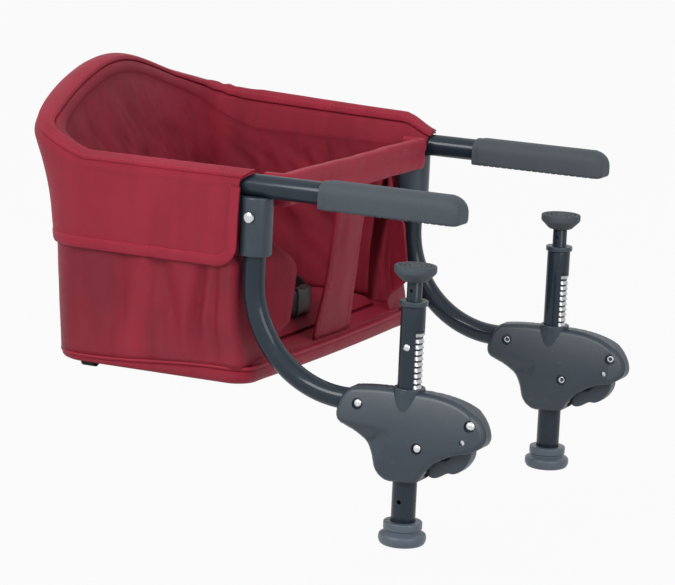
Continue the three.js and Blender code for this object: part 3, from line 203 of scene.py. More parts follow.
def softbox(name, place, aim, size, watts):
    lamp = bpy.data.lights.new(name, "AREA")
    lamp.size = size
    lamp.energy = watts
    obj = bpy.data.objects.new(name, lamp)
    toward = Vector(aim) - Vector(place)
    obj.matrix_world = Matrix.Translation(place) @ toward.to_track_quat("-Z", "Y").to_matrix().to_4x4()
    bpy.context.scene.collection.objects.link(obj)


softbox("key_light", (-0.6, -2.0, 1.3), (-0.1, 0, -0.1), 1.0, 33)
softbox("fill_light", (1.9, -1.1, 0.9), (0, 0, -0.1), 1.2, 19)


# Upper frame: one round steel tube, bent into a hoop behind the seat and run forward as two straight arms.
# It is bent cold and powder painted a dark slate grey with a satin gloss. All the rest is fixed to it or hung on it.

ARM_PLANE = 170
TUBE_HEIGHT = 13
TUBE_RADIUS = 10.5
TUBE_FRONT = 158
RAIL_BACK = -204
HOOP_LEAD = 24
HOOP_HALF = [(RAIL_BACK, -ARM_PLANE, TUBE_HEIGHT), (-256, -154, 33), (-276, -102, 55)]
HOOP_CREST = (-284, 0, 79)
HOOP_STEPS = 80
CURVE_STEPS = 40
ROUND_SIDES = 40


def bent(places, count):
    """Evenly spaced points on a smooth curve through the places, drawn tighter where they are close together."""
    knots = [Vector(p) for p in places]
    knots = [knots[0] * 2 - knots[1], *knots, knots[-1] * 2 - knots[-2]]
    dense = []
    for p0, p1, p2, p3 in zip(knots, knots[1:], knots[2:], knots[3:]):
        d0, d1, d2 = ((b - a).length ** 0.5 for a, b in ((p0, p1), (p1, p2), (p2, p3)))
        out = ((p1 - p0) / d0 - (p2 - p0) / (d0 + d1) + (p2 - p1) / d1) * d1
        into = ((p2 - p1) / d1 - (p3 - p1) / (d1 + d2) + (p3 - p2) / d2) * d1
        for k in range(CURVE_STEPS):
            t = k / CURVE_STEPS
            share = t * t * (3 - 2 * t)
            dense.append(p1.lerp(p2, share) + out * (t * (1 - t) ** 2) - into * (t * t * (1 - t)))
    dense.append(knots[-2])
    return spaced(dense, count)


def runs_of(line):
    """Length run along a line at each of its points."""
    runs = [0.0]
    for a, b in zip(line, line[1:]):
        runs.append(runs[-1] + (b - a).length)
    return runs


def spaced(line, count):
    """The line's points again, evenly along its length."""
    runs = runs_of(line)
    found = []
    k = 0
    for i in range(count + 1):
        goal = runs[-1] * i / count
        while k < len(line) - 2 and runs[k + 1] < goal:
            k += 1
        found.append(line[k].lerp(line[k + 1], (goal - runs[k]) / (runs[k + 1] - runs[k])))
    return found


def mirrored(points):
    return [(x, -y, z) for x, y, z in points]


hoop_half = [(RAIL_BACK + HOOP_LEAD, -ARM_PLANE, TUBE_HEIGHT), *HOOP_HALF]
hoop = bent([*hoop_half, HOOP_CREST, *mirrored(reversed(hoop_half))], HOOP_STEPS)
hoop = [p for p in hoop if p.x <= RAIL_BACK]


def satin_paint():
    material, net, place = begin("satin_paint")
    mottle = net.cloud(place, 55.0, 3.0)
    peel = net.cloud(place, 1300.0)
    rub = net.cloud(place, 210.0, 4.0).eased(0.62, 0.8)
    tone = net.between(mottle, (0.009, 0.017, 0.027, 1), (0.016, 0.026, 0.038, 1))
    close(net, {
        "Base Color": net.between(rub * 0.35, tone, (0.05, 0.064, 0.08, 1)),
        "Roughness": 0.4 + mottle * 0.1 + rub * 0.12,
        "Specular IOR Level": 0.1,
        "Coat Weight": 0.4,
        "Coat Roughness": 0.1,
        "Normal": net.raised(peel, 0.00006, 0.5),
    })
    return material


def new_object(name, mesh, material):
    obj = bpy.data.objects.new(name, mesh)
    bpy.context.scene.collection.objects.link(obj)
    if material:
        mesh.materials.clear()
        mesh.materials.append(material)
    return obj


def tree_for(name, inputs):
    """An empty geometry tree with a path coming in, the named inputs, and a mesh going out."""
    tree = bpy.data.node_groups.new(name, "GeometryNodeTree")
    tree.interface.new_socket("Path", in_out="INPUT", socket_type="NodeSocketGeometry")
    for label, kind in inputs.items():
        tree.interface.new_socket(label, in_out="INPUT", socket_type=f"NodeSocket{kind}")
    tree.interface.new_socket("Mesh", in_out="OUTPUT", socket_type="NodeSocketGeometry")
    net = Net(tree)
    entry = tree.nodes.new("NodeGroupInput")
    return tree, net, {s.name: Wire(net, s) for s in entry.outputs if s.name}


def leave(net, mesh, material):
    """Ends a geometry tree: instances made real and the material set."""
    real = net.add("GeometryNodeRealizeInstances", None, {0: mesh})
    painted = net.add("GeometryNodeSetMaterial", None, {"Geometry": real, "Material": material})
    net.add("NodeGroupOutput", None, {0: painted})


def tube_tree():
    tree, net, given = tree_for("tube_along_path", {"Radius": "Float", "Sides": "Int", "Material": "Material"})
    curve = net.add("GeometryNodeMeshToCurve", None, {0: given["Path"]})
    ring = net.add("GeometryNodeCurvePrimitiveCircle", None, {"Resolution": given["Sides"], "Radius": given["Radius"]})
    sockets = {"Curve": curve, "Profile Curve": ring, "Fill Caps": True}
    wall = net.add("GeometryNodeCurveToMesh", None, sockets)
    leave(net, net.add("GeometryNodeSetShadeSmooth", None, {"Geometry": wall}), given["Material"])
    return tree


def evaluated(obj):
    """A plain mesh of the object as its modifiers leave it."""
    graph = bpy.context.evaluated_depsgraph_get()
    return bpy.data.meshes.new_from_object(obj.evaluated_get(graph))


def grown(name, tree, lines, values):
    """The mesh object that a geometry tree makes along some lines of points."""
    points = []
    edges = []
    for line in lines:
        edges += [(len(points) + k, len(points) + k + 1) for k in range(len(line) - 1)]
        points += [Vector(p) / 1000 for p in line]
    path = bpy.data.meshes.new(name)
    path.from_pydata(points, edges, [])
    source = new_object(f"{name}.path", path, None)
    modifier = source.modifiers.new("grow", "NODES")
    modifier.node_group = tree
    for item in tree.interface.items_tree:
        if item.name in values:
            modifier[item.identifier] = values[item.name]
    mesh = evaluated(source)
    bpy.data.objects.remove(source)
    mesh.name = name
    return new_object(name, mesh, None)


def piped(name, line, radius, sides, material):
    """A round bar or tube along a line of points."""
    return grown(name, TUBES, [line], {"Radius": radius / 1000, "Sides": sides, "Material": material})


def carried(obj, body, slot, *nodes):
    """Puts a finished piece on its body, in the place of the nodes that it stands for."""
    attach(obj, body)
    if nodes:
        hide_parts(*nodes)


TUBES = tube_tree()
PAINT = satin_paint()

tube_line = [(TUBE_FRONT, -ARM_PLANE, TUBE_HEIGHT), *hoop, (TUBE_FRONT, ARM_PLANE, TUBE_HEIGHT)]
upper_tube = piped("upper_tube", tube_line, TUBE_RADIUS, ROUND_SIDES, PAINT)
carried(upper_tube, "frame", "paint", "upper_frame_tube")

SIDES = (("right", -ARM_PLANE, 1), ("left", ARM_PLANE, -1))


def cleaned(mesh, apart, sharp, least=0.0):
    """Merges doubles, drops edges shorter than the least, turns faces outward and marks sharp edges."""
    work = bmesh.new()
    work.from_mesh(mesh)
    bmesh.ops.remove_doubles(work, verts=work.verts, dist=apart)
    if least:
        bmesh.ops.dissolve_degenerate(work, edges=work.edges, dist=least)
    bmesh.ops.recalc_face_normals(work, faces=work.faces)
    work.to_mesh(mesh)
    work.free()
    mesh.shade_smooth()
    mesh.set_sharp_from_angle(angle=math.radians(sharp))


def shape(name, points, faces, material, sharp=32, uv=None):
    """A closed or open mesh from points in millimetres."""
    mesh = bpy.data.meshes.new(name)
    mesh.from_pydata([Vector(p) / 1000 for p in points], [], faces)
    if uv:
        layer = mesh.uv_layers.new(name="cut")
        for loop in mesh.loops:
            layer.data[loop.index].uv = Vector(uv[loop.vertex_index]) / 1000
    cleaned(mesh, 2e-6, sharp, least=1e-7)
    return new_object(name, mesh, material)


def loft(rings, closed=True, capped=True):
    """Points and faces of a skin over rings of equally many points."""
    size = len(rings[0])
    points = [p for ring in rings for p in ring]
    faces = []
    for i in range(len(rings) - 1):
        for j in range(size if closed else size - 1):
            a = i * size + j
            b = i * size + (j + 1) % size
            faces.append((a, b, b + size, a + size))
    if capped:
        faces.append(tuple(range(size)))
        faces.append(tuple(range(len(points) - size, len(points))))
    return points, faces


# Grips: two rubber sleeves pushed over the tube's arms, which lie flat on what the seat hooks on.
# Moulded in matt slate rubber, with a round back, a blunt nose, a thin cuff and a sole cut into ribs.

GRIP_START = 33
GRIP_END = 168
GRIP_HALF = 15
GRIP_SOLE = 12
GRIP_TOP = 25.8
GRIP_NOSE = 15
GRIP_BACK = 0.8
NOSE_NARROWS = 5
NOSE_RISES = 3.5
NOSE_FALLS = 11
CUFF = 7
RIB_FIRST = 43
RIB_LAST = 158
RIB_PITCH = 6.5
RIB_GAP = 2.4
RIB_DEPTH = 1.3
RIB_WALL = 0.25


def grip_rubber():
    material, net, place = begin("grip_rubber")
    bloom = net.cloud(place, 34.0, 4.0)
    grain = net.cloud(place, 2200.0)
    scuff = net.cloud(place, 160.0, 5.0).eased(0.58, 0.78)
    tone = net.between(bloom, (0.034, 0.045, 0.055, 1), (0.05, 0.064, 0.077, 1))
    close(net, {
        "Base Color": net.between(scuff * 0.4, tone, (0.088, 0.102, 0.115, 1)),
        "Roughness": 0.62 + bloom * 0.14 + scuff * 0.1,
        "Normal": net.raised(grain, 0.00012, 0.6),
    })
    return material


RUBBER = grip_rubber()


def squared(value, power):
    """A sine or cosine drawn toward 1, which makes a circle squarer."""
    return math.copysign(abs(value) ** power, value)


def grip_ring(x, half, sole, low, top):
    """One section across the grip: flat sole, round lower corners, upright sides and a domed back."""
    middle = (low + top) / 2
    corner = half - sole
    angles = [math.pi / 2 * k / 4 for k in range(1, 5)]
    lower = [(x, sole + corner * math.sin(a), low + corner * (1 - math.cos(a))) for a in angles]
    ring = [(x, -sole + 2 * sole * k / 8, low) for k in range(9)]
    ring += lower
    for k in range(25):
        angle = math.pi * k / 24
        rise = (top - middle) * squared(math.sin(angle), GRIP_BACK)
        ring.append((x, half * squared(math.cos(angle), GRIP_BACK), middle + rise))
    return ring + mirrored(reversed(lower))


def grip_rings():
    """Sections along the grip: the cuff, the length whose sole is lifted in the gaps of its ribs, and the nose."""
    cuff_end = GRIP_START + CUFF
    stations = [(GRIP_START, 0.0, 1.6), (GRIP_START + 0.8, 0.0, 0.8), (cuff_end - 1.5, 0.0, 0.7)]
    stations += [(cuff_end, 0.0, 0.1), (cuff_end + 1, 0.0, 0.0)]
    x = RIB_FIRST
    while x + RIB_GAP < RIB_LAST:
        stations += [(x, 0.0, 0.0), (x + RIB_WALL, RIB_DEPTH, 0.0)]
        stations += [(x + RIB_GAP - RIB_WALL, RIB_DEPTH, 0.0), (x + RIB_GAP, 0.0, 0.0)]
        x += RIB_PITCH
    rings = []
    for x, lift, shrink in stations:
        ring = grip_ring(x, GRIP_HALF - shrink, GRIP_SOLE - shrink, 0.0, GRIP_TOP - shrink)
        rings.append([(px, py, max(pz, lift)) for px, py, pz in ring])
    for k in range(1, 13):
        angle = math.pi / 2 * k / 12
        drop = 1 - math.cos(angle)
        x = GRIP_END - GRIP_NOSE + GRIP_NOSE * math.sin(angle)
        x = max(x, rings[-1][0][0] + 0.2)
        narrow = NOSE_NARROWS * drop
        low = NOSE_RISES * drop ** 3
        rings.append(grip_ring(x, GRIP_HALF - narrow, GRIP_SOLE - narrow, low, GRIP_TOP - NOSE_FALLS * drop))
    return rings


def sided(points, plane, mirror):
    """Points drawn about an arm's own plane, with the outer side at -Y, set at that arm."""
    return [(x, plane + mirror * y, z) for x, y, z in points]


def built(name, solid, plane, mirror, material, sharp=32):
    """A piece of one arm, from the points and faces of a solid drawn about that arm's plane."""
    points, faces = solid
    return shape(name, sided(points, plane, mirror), faces, material, sharp)


for side, plane, mirror in SIDES:
    grip = built(f"grip_sleeve_{side}", loft(grip_rings()), plane, mirror, RUBBER, sharp=40)
    carried(grip, "frame", "rubber", f"grip_{side}")


# Arm sockets: a moulded saddle screwed up into the tube, with a round boss that the lower arm turns in.
# Each has a plated button on its outer side, whose pin runs in a slot in the arm.

SOCKET_X = -33
BOSS_RADIUS = 15
BOSS_BOTTOM = -50
SADDLE_REAR = -70
SADDLE_HALF = 10.3
SADDLE_BOTTOM = -16
SADDLE_TOP = 4
SADDLE_ROUND = 2.5
BOSS_ROUND = 2.0
ROUND_STEPS = 4
ROUND_MOST = 0.45
ARM_RADIUS = 10
RUNNING_GAP = 0.35
ARM_BORE = ARM_RADIUS + RUNNING_GAP
ARM_BORE_TOP = -3.7
SCREW_X = -60
SCREW_SEAT = SADDLE_BOTTOM - 0.3
SCREW_HEAD = [(0, -2.2), (2.0, -2.2), (2.1, -3.3), (3.2, -3.2), (4, -2.4), (4, 0), (2, 0)]
BUTTON_Z = -14
BUTTON_REACH = BOSS_RADIUS + 2.6
BUTTON_RECESS = 5.35
BUTTON_DOME = [(0, 0), (3.4, 0.2), (4.6, 0.9), (5, 1.8), (5, 3), (3.2, 3)]


def moulded_plastic(name, dark, light):
    material, net, place = begin(name)
    flow = net.cloud(place, 26.0, 3.0)
    spark = net.cloud(place, 1700.0, 1.0)
    scuff = net.cloud(place, 240.0, 5.0).eased(0.6, 0.78)
    tone = net.between(flow, dark, light)
    worn = tuple(min(1.0, c * 2.1 + 0.01) for c in light[:3]) + (1,)
    close(net, {
        "Base Color": net.between(scuff * 0.3, tone, worn),
        "Roughness": 0.34 + flow * 0.1 + scuff * 0.1,
        "Normal": net.raised(spark, 0.00008, 0.5),
    })
    return material


def zinc_plate():
    material, net, place = begin("zinc_plate")
    cloudy = net.cloud(place, 120.0, 3.0)
    draw = net.cloud(place, 900.0, 2.0)
    tone = net.between(cloudy, (0.55, 0.57, 0.6, 1), (0.74, 0.75, 0.77, 1))
    close(net, {
        "Base Color": tone,
        "Metallic": 1.0,
        "Roughness": 0.2 + cloudy * 0.14,
        "Normal": net.raised(draw, 0.00003, 0.4),
    })
    return material


PLASTIC = moulded_plastic("satin_plastic", (0.018, 0.03, 0.043, 1), (0.028, 0.041, 0.055, 1))
ZINC = zinc_plate()


def plug(radius, low, high):
    """The profile of a plain round plug, as radius and height pairs."""
    return [(0, low), (radius, low), (radius, high), (0, high)]


def circle(radius, segments):
    """Pairs on a circle about zero."""
    angles = [2 * math.pi * k / segments for k in range(segments)]
    return [(radius * math.cos(a), radius * math.sin(a)) for a in angles]


def turned(profile, x, segments=48):
    """Points and faces of a piece turned about the upright line at x, from radius and height pairs."""
    rings = [[(x + u, v, z) for u, v in circle(radius, segments)] for radius, z in profile]
    return loft(rings, capped=False)


def crosswise(profile, x, z, segments):
    """Points and faces of a piece turned about a line along Y, from pairs of radius and place on that line."""
    points, faces = turned(profile, 0, segments)
    return [(x + u, y, z + v) for u, v, y in points], faces


def crossbar(radius, x, z, y0, y1, segments=32):
    """Points and faces of a round bar along Y."""
    return loft([[(x + u, y, z + v) for u, v in circle(radius, segments)] for y in (y0, y1)])


def lengthbar(radius, z, x0, x1):
    """Points and faces of a round bar along X in the arm's plane."""
    return loft([[(x, u, z + v) for u, v in circle(radius, ROUND_SIDES)] for x in (x0, x1)])


def rounded(corners, radius):
    """A profile of radius and height pairs with its inner corners rounded off."""
    line = [corners[0]]
    for before, here, after in zip(corners, corners[1:], corners[2:]):
        spot, a, b = Vector(here), Vector(before), Vector(after)
        reach = min(radius, (a - spot).length * ROUND_MOST, (b - spot).length * ROUND_MOST)
        start = spot + (a - spot).normalized() * reach
        end = spot + (b - spot).normalized() * reach
        for k in range(ROUND_STEPS + 1):
            t = k / ROUND_STEPS
            line.append(tuple(start * (1 - t) ** 2 + spot * 2 * t * (1 - t) + end * t * t))
    line.append(corners[-1])
    return line


def frozen(obj):
    """Makes what the object's modifiers leave its own plain mesh, and returns it."""
    mesh = evaluated(obj)
    obj.modifiers.clear()
    obj.data = mesh
    return mesh


def carved(obj, tools, plane, mirror, sharp=32):
    """Joins solids of an arm to the object or cuts them from it. Tools are pairs of an operation and a solid."""
    cutters = []
    for operation, (points, faces) in tools:
        cutter = shape("cutter", sided(points, plane, mirror), faces, None)
        cutter.data.materials.append(obj.data.materials[0])
        cutters.append(cutter)
        modifier = obj.modifiers.new("carve", "BOOLEAN")
        modifier.operation = operation
        modifier.solver = "EXACT"
        modifier.object = cutter
    mesh = frozen(obj)
    for cutter in cutters:
        bpy.data.objects.remove(cutter)
    cleaned(mesh, 1e-6, sharp)


def saddle_rings():
    """Sections along the saddle, as places and how much is taken off there, from its rounded rear end into the boss."""
    rings = []
    for x, shrink in ((SADDLE_REAR, 1.6), (SADDLE_REAR + 0.5, 0.8), (SADDLE_REAR + 1.6, 0.0), (SOCKET_X, 0.0)):
        half = SADDLE_HALF - shrink
        low = SADDLE_BOTTOM + shrink
        section = rounded(plug(half, low, SADDLE_TOP), SADDLE_ROUND)
        rings.append([(x, y, z) for y, z in section] + [(x, -y, z) for y, z in reversed(section[1:-1])])
    return rings


boss = rounded(plug(BOSS_RADIUS, BOSS_BOTTOM, SADDLE_TOP), BOSS_ROUND)
socket_bore = plug(ARM_BORE, BOSS_BOTTOM - 3, ARM_BORE_TOP)
screw_profile = [*((radius, SCREW_SEAT + z) for radius, z in SCREW_HEAD), (2, 6), (0, 6)]
button_profile = [*((radius, y - BUTTON_REACH) for radius, y in BUTTON_DOME), (3.2, -7), (0, -7)]

for side, plane, mirror in SIDES:
    socket = built(f"socket_{side}", turned(boss, SOCKET_X), plane, mirror, PLASTIC)
    carved(socket, [
        ("UNION", loft(saddle_rings())),
        ("DIFFERENCE", lengthbar(TUBE_RADIUS + RUNNING_GAP, TUBE_HEIGHT, SADDLE_REAR - 4, SOCKET_X + 30)),
        ("DIFFERENCE", turned(socket_bore, SOCKET_X)),
        ("DIFFERENCE", crossbar(BUTTON_RECESS, SOCKET_X, BUTTON_Z, -BOSS_RADIUS - 3, -BOSS_RADIUS + 2.8)),
    ], plane, mirror)
    carried(socket, "frame", "plastic", f"arm_socket_{side}")

    screw = built(f"saddle_screw_{side}", turned(screw_profile, SCREW_X, 24), plane, mirror, ZINC)
    carried(screw, "frame", "zinc", f"socket_screw_{side}")

    button = built(f"button_{side}", crosswise(button_profile, SOCKET_X, BUTTON_Z, 28), plane, mirror, ZINC)
    carried(button, f"swing_button_{side}", "zinc", f"swing_button_{side}")


# Lower arms: the same painted steel in a slightly thinner tube, upright in the socket and bent forward in one
# long quarter turn into the clamp housing, where a rivet goes through it.

ARM_TOP = -4
ARM_UPRIGHT = -36
ARM_HEIGHT = -168
ARM_BEND = 96
ARM_END = 100
BEND_STEPS = 40

for side, plane, mirror in SIDES:
    line = [(SOCKET_X, plane, ARM_TOP), (SOCKET_X, plane, ARM_UPRIGHT)]
    for k in range(BEND_STEPS + 1):
        angle = math.pi / 2 * k / BEND_STEPS
        x = SOCKET_X + ARM_BEND * (1 - math.cos(angle))
        line.append((x, plane, ARM_HEIGHT + ARM_BEND * (1 - math.sin(angle))))
    line.append((ARM_END, plane, ARM_HEIGHT))
    arm = piped(f"arm_tube_{side}", line, ARM_RADIUS, ROUND_SIDES, PAINT)
    carried(arm, f"lower_arm_{side}", "paint", f"lower_arm_{side}")


# Clamp housings: two moulded half shells round the arm's end and the post, with a rim for the post on top,
# a scooped flank at the rear, a chamfered nose and a bay below for the trigger. Rivets hold the halves together.

POST_X = 125
POST_RADIUS = 11
POST_BORE = POST_RADIUS + RUNNING_GAP
POST_BORE_LOW = -260
POST_BORE_HIGH = -140
RIM_RADIUS = 14.2
RIM_TOP = -149
RIM_FOOT = -190
RIM_ROUND = 1.2
HOUSING_HALF = 20
HOUSING_LEAST = 2.5
FULL_WIDTH_Z = -200
SCOOP_TOP = (66, -183.5)
SCOOP_TILT = 0.075
SCOOP_FRONT = (113.5, -187)
SCOOP_CURVE = 0.0085
SCOOP_TURN = 0.72
SCOOP_SLOPE = 0.56
SCOOP_DEPTH = 8.5
NOSE_X = 189
NOSE_SLOPE = 0.62
CHIN_Z = -215
CHIN_SLOPE = 0.2
SEAM = 0.15
EDGE = 4.5
SHELL_SHARP = 26
SLAB = ((40, -260), (230, -260), (230, -120), (40, -120))
SLAB_DEPTH = 40
RIVETS = {"rear": (81, -168), "front": (190, -173), "low": (143, -199)}
RIVET_RECESS = 5.2
RECESS_DEPTH = 2.6
PIVOT = (185, -188)
PIN_HOLE = 2.75
TRIGGER_HALF = 8
BAY_CLEAR = 0.6
BAY = [(141, -240), (141, -206), (150, -200), (164, -192), (164, -165), (179, -165), (191.5, -181.5), (192, -240)]


def bow(*corners):
    """A point on the curve with these control corners, as a function of 0 to 1."""
    def at(t):
        line = [Vector(c) for c in corners]
        while len(line) > 1:
            line = [a.lerp(b, t) for a, b in zip(line, line[1:])]
        return line[0]
    return at


def outline(parts, count):
    """Evenly spaced points along straight runs and curves, each given by its control corners."""
    dense = []
    for corners in parts:
        curve = bow(*corners)
        dense += [curve(k / 24) for k in range(24)]
    dense.append(Vector(parts[-1][-1]))
    return spaced(dense, count)


HOUSING_TOP_LINE = [
    ((61, -176), (62, -160), (72, -154.6)),
    ((72, -154.6), (88, -151.6), (108, -151.2)),
    ((108, -151.2), (143, -151.2)),
    ((143, -151.2), (173, -151.5), (201, -161), (203, -183)),
]
HOUSING_LOW_LINE = [
    ((61, -176), (61, -184), (66, -187.5)),
    ((66, -187.5), (90, -196), (98, -214)),
    ((98, -214), (103, -233.5), (116, -233.5)),
    ((116, -233.5), (136, -233.5)),
    ((136, -233.5), (142, -233), (147, -224)),
    ((147, -224), (160, -206), (183, -199)),
    ((183, -199), (202.8, -196), (203, -183)),
]
FLANK = bow((7.5, -149), (12, -160), (18, -180), (20, -200))


def flank_at(z):
    """Half the housing's width at a height."""
    if z <= FULL_WIDTH_Z:
        return HOUSING_HALF
    low, high = 0.0, 1.0
    for _ in range(24):
        middle = (low + high) / 2
        if FLANK(middle).y > z:
            low = middle
        else:
            high = middle
    return FLANK(low).x


def scoop_at(x, z):
    """How far the rear flank is hollowed at a place: nothing above its upper crease or ahead of its curved one."""
    below = SCOOP_TOP[1] - (x - SCOOP_TOP[0]) * SCOOP_TILT - z
    front = SCOOP_FRONT[0] - SCOOP_CURVE * max(0.0, SCOOP_FRONT[1] - z) ** 2
    inside = min(below, (front - x) * SCOOP_TURN)
    return 0.0 if inside <= 0 else min(SCOOP_SLOPE * inside, SCOOP_DEPTH)


def shell_depth(x, z, edge):
    """Half the housing's width at a place that lies an edge distance inside its outline."""
    depth = flank_at(z) - scoop_at(x, z)
    if x > NOSE_X:
        depth -= (x - NOSE_X) * NOSE_SLOPE
    if z < CHIN_Z:
        depth -= (CHIN_Z - z) * CHIN_SLOPE
    if edge < EDGE:
        depth -= EDGE - math.sqrt(max(0.0, EDGE ** 2 - (EDGE - edge) ** 2))
    return max(depth, HOUSING_LEAST)


def height_on(line, x):
    """The height of a line of points at x, which grows along it."""
    for a, b in zip(line, line[1:]):
        if b.x >= x:
            return a.y + (b.y - a.y) * (x - a.x) / max(b.x - a.x, 1e-6)
    return line[-1].y


def shell_half(columns=150, rows=64):
    """Points and faces of the outer half shell in upright columns, closed by its flat seam face."""
    top = outline(HOUSING_TOP_LINE, 220)
    low = outline(HOUSING_LOW_LINE, 220)
    border = top + low
    rear, nose = top[0].x, top[-1].x
    skin = []
    for i in range(1, columns):
        x = rear + (nose - rear) * (0.5 - 0.5 * math.cos(math.pi * i / columns))
        high, deep = height_on(top, x), height_on(low, x)
        column = []
        for j in range(rows + 1):
            z = high + (deep - high) * (0.5 - 0.5 * math.cos(math.pi * j / rows))
            edge = min((Vector((x, z)) - p).length for p in border)
            column.append((x, -shell_depth(x, z, edge), z))
        skin.append([(x, -SEAM, high), *column, (x, -SEAM, deep)])
    return loft(skin)


def trigger_bay():
    """Points and faces of the space that the trigger swings in, open below."""
    half = TRIGGER_HALF + BAY_CLEAR
    return loft([[(x, y, z) for x, z in BAY] for y in (-half, half)])


shell_points, shell_faces = shell_half()
rim = rounded(plug(RIM_RADIUS, RIM_FOOT, RIM_TOP), RIM_ROUND)
post_bore = plug(POST_BORE, POST_BORE_LOW, POST_BORE_HIGH)
recesses = [(RIVET_RECESS, x, z) for x, z in RIVETS.values()] + [(PIN_HOLE, *PIVOT)]

for side, plane, mirror in SIDES:
    for half_name, facing in (("outer", 1), ("inner", -1)):
        half_shell = (shell_points if facing > 0 else mirrored(shell_points), shell_faces)
        shell = built(f"shell_{half_name}_{side}", half_shell, plane, mirror, PLASTIC, SHELL_SHARP)
        tools = [
            ("UNION", turned(rim, POST_X)),
            ("INTERSECT", loft([[(x, -facing * y, z) for x, z in SLAB] for y in (SEAM, SLAB_DEPTH)])),
            ("DIFFERENCE", turned(post_bore, POST_X)),
            ("DIFFERENCE", lengthbar(ARM_BORE, ARM_HEIGHT, 50, ARM_END + 0.3)),
            ("DIFFERENCE", trigger_bay()),
        ]
        for radius, x, z in recesses:
            floor_y = -facing * (flank_at(z) - RECESS_DEPTH)
            tools.append(("DIFFERENCE", crossbar(radius, x, z, floor_y, -facing * SLAB_DEPTH)))
        carved(shell, tools, plane, mirror, SHELL_SHARP)
        carried(shell, f"lower_arm_{side}", "plastic", f"clamp_shell_{half_name}_{side}")


# Clamp rivets: plated tubular rivets with a domed head outside and a rolled end inside, set in round recesses.
# Three go through each housing. Their heads and ends are the same turned shapes at each place.

RIVET_HEAD = [(0, -2.5), (2.4, -2.1), (3.7, -1.2), (4.3, 0), (2.2, 0.05), (2.2, 1), (0, 1)]
RIVET_END = [
    (0, 0.4), (1.5, 0.4), (1.7, -0.6), (2.3, -1.3), (3.0, -1.1),
    (3.4, -0.2), (3.4, 0.2), (2.2, 0.2), (2.2, 1), (0, 1),
]
RIVET_SINK = 2.3


def rivet_tree():
    tree, net, given = tree_for("rivets_at_points", {"Rivet": "Object", "Material": "Material"})
    rivet = net.add("GeometryNodeObjectInfo", None, {"Object": given["Rivet"]}, out="Geometry")
    many = net.add("GeometryNodeInstanceOnPoints", None, {"Points": given["Path"], "Instance": rivet})
    leave(net, many, given["Material"])
    return tree


RIVETING = rivet_tree()
for side, plane, mirror in SIDES:
    made = []
    for label, profile, facing in (("head", RIVET_HEAD, 1), ("end", RIVET_END, -1)):
        turn = facing * mirror
        points, faces = crosswise([(radius, turn * y) for radius, y in profile], 0, 0, 28)
        pattern = shape("rivet_pattern", points, faces, ZINC)
        seats = [[(x, plane - turn * (flank_at(z) - RIVET_SINK), z)] for x, z in RIVETS.values()]
        made.append(grown(f"rivet_{label}s_{side}", RIVETING, seats, {"Rivet": pattern, "Material": ZINC}))
        bpy.data.objects.remove(pattern)
    nodes = [f"clamp_rivet_{spot}_{side}" for spot in RIVETS]
    for obj in made:
        obj.data.shade_smooth()
        obj.data.set_sharp_from_angle(angle=math.radians(40))
        carried(obj, f"lower_arm_{side}", "zinc")
    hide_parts(*nodes)


# Triggers: a moulded finger lever under each housing, hung on a plated pin, with two finger rests below.
# An arm inside it draws the pawl back from the rack, and a coil spring pushes it down again.

SPRING_X = 160
SPRING_TURNS = 3
SPRING_RADIUS = 3.4
SPRING_FOOT = -206.2
SPRING_LENGTH = 15.5
SPRING_WIRE = 0.6
SPRING_STEPS = 72
TRIGGER_ROUND = 3.0
EYE_RADIUS = 5.5
HORN = [(169.5, -169.5), (174.5, -169.5), (174.5, -178), (185, -185), (183, -192), (169.5, -180)]
HORN_HALF = 2.2
TRIGGER_TOP_LINE = [((150, -214), (154, -207), (166, -207)), ((166, -207), (178, -194), (188, -192))]
TRIGGER_LOW_LINE = [
    ((150, -214), (147, -226), (153, -226.5)),
    ((153, -226.5), (160, -227), (163, -222), (169, -220)),
    ((169, -220), (175, -222), (183, -216), (187, -209)),
    ((187, -209), (192, -201), (188, -192)),
]


def lever_skin(top_line, low_line, half, edge_round, columns=44, rows=22):
    """Points and faces of a flat moulded lever with rounded edges."""
    top = outline(top_line, columns)
    low = outline(low_line, columns)
    border = top + low
    rings = []
    for i in range(1, columns):
        near = []
        for j in range(rows + 1):
            place = top[i].lerp(low[i], 0.5 - 0.5 * math.cos(math.pi * j / rows))
            edge = min(min((place - p).length for p in border), edge_round)
            depth = half - edge_round + math.sqrt(edge_round ** 2 - (edge_round - edge) ** 2)
            near.append((place.x, -depth, place.y))
        rings.append(near + mirrored(near)[::-1])
    return loft(rings)


def plated(node):
    """Gives a hidden piece, which stays in its plain form, the plated steel."""
    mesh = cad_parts[node].data
    mesh.materials.clear()
    mesh.materials.append(ZINC)
    mesh.shade_smooth()


lever_solid = lever_skin(TRIGGER_TOP_LINE, TRIGGER_LOW_LINE, TRIGGER_HALF, TRIGGER_ROUND)
coil = []
for k in range(SPRING_STEPS + 1):
    angle = 2 * math.pi * SPRING_TURNS * k / SPRING_STEPS
    z = SPRING_FOOT + SPRING_LENGTH * k / SPRING_STEPS
    coil.append((SPRING_X + SPRING_RADIUS * math.cos(angle), SPRING_RADIUS * math.sin(angle), z))

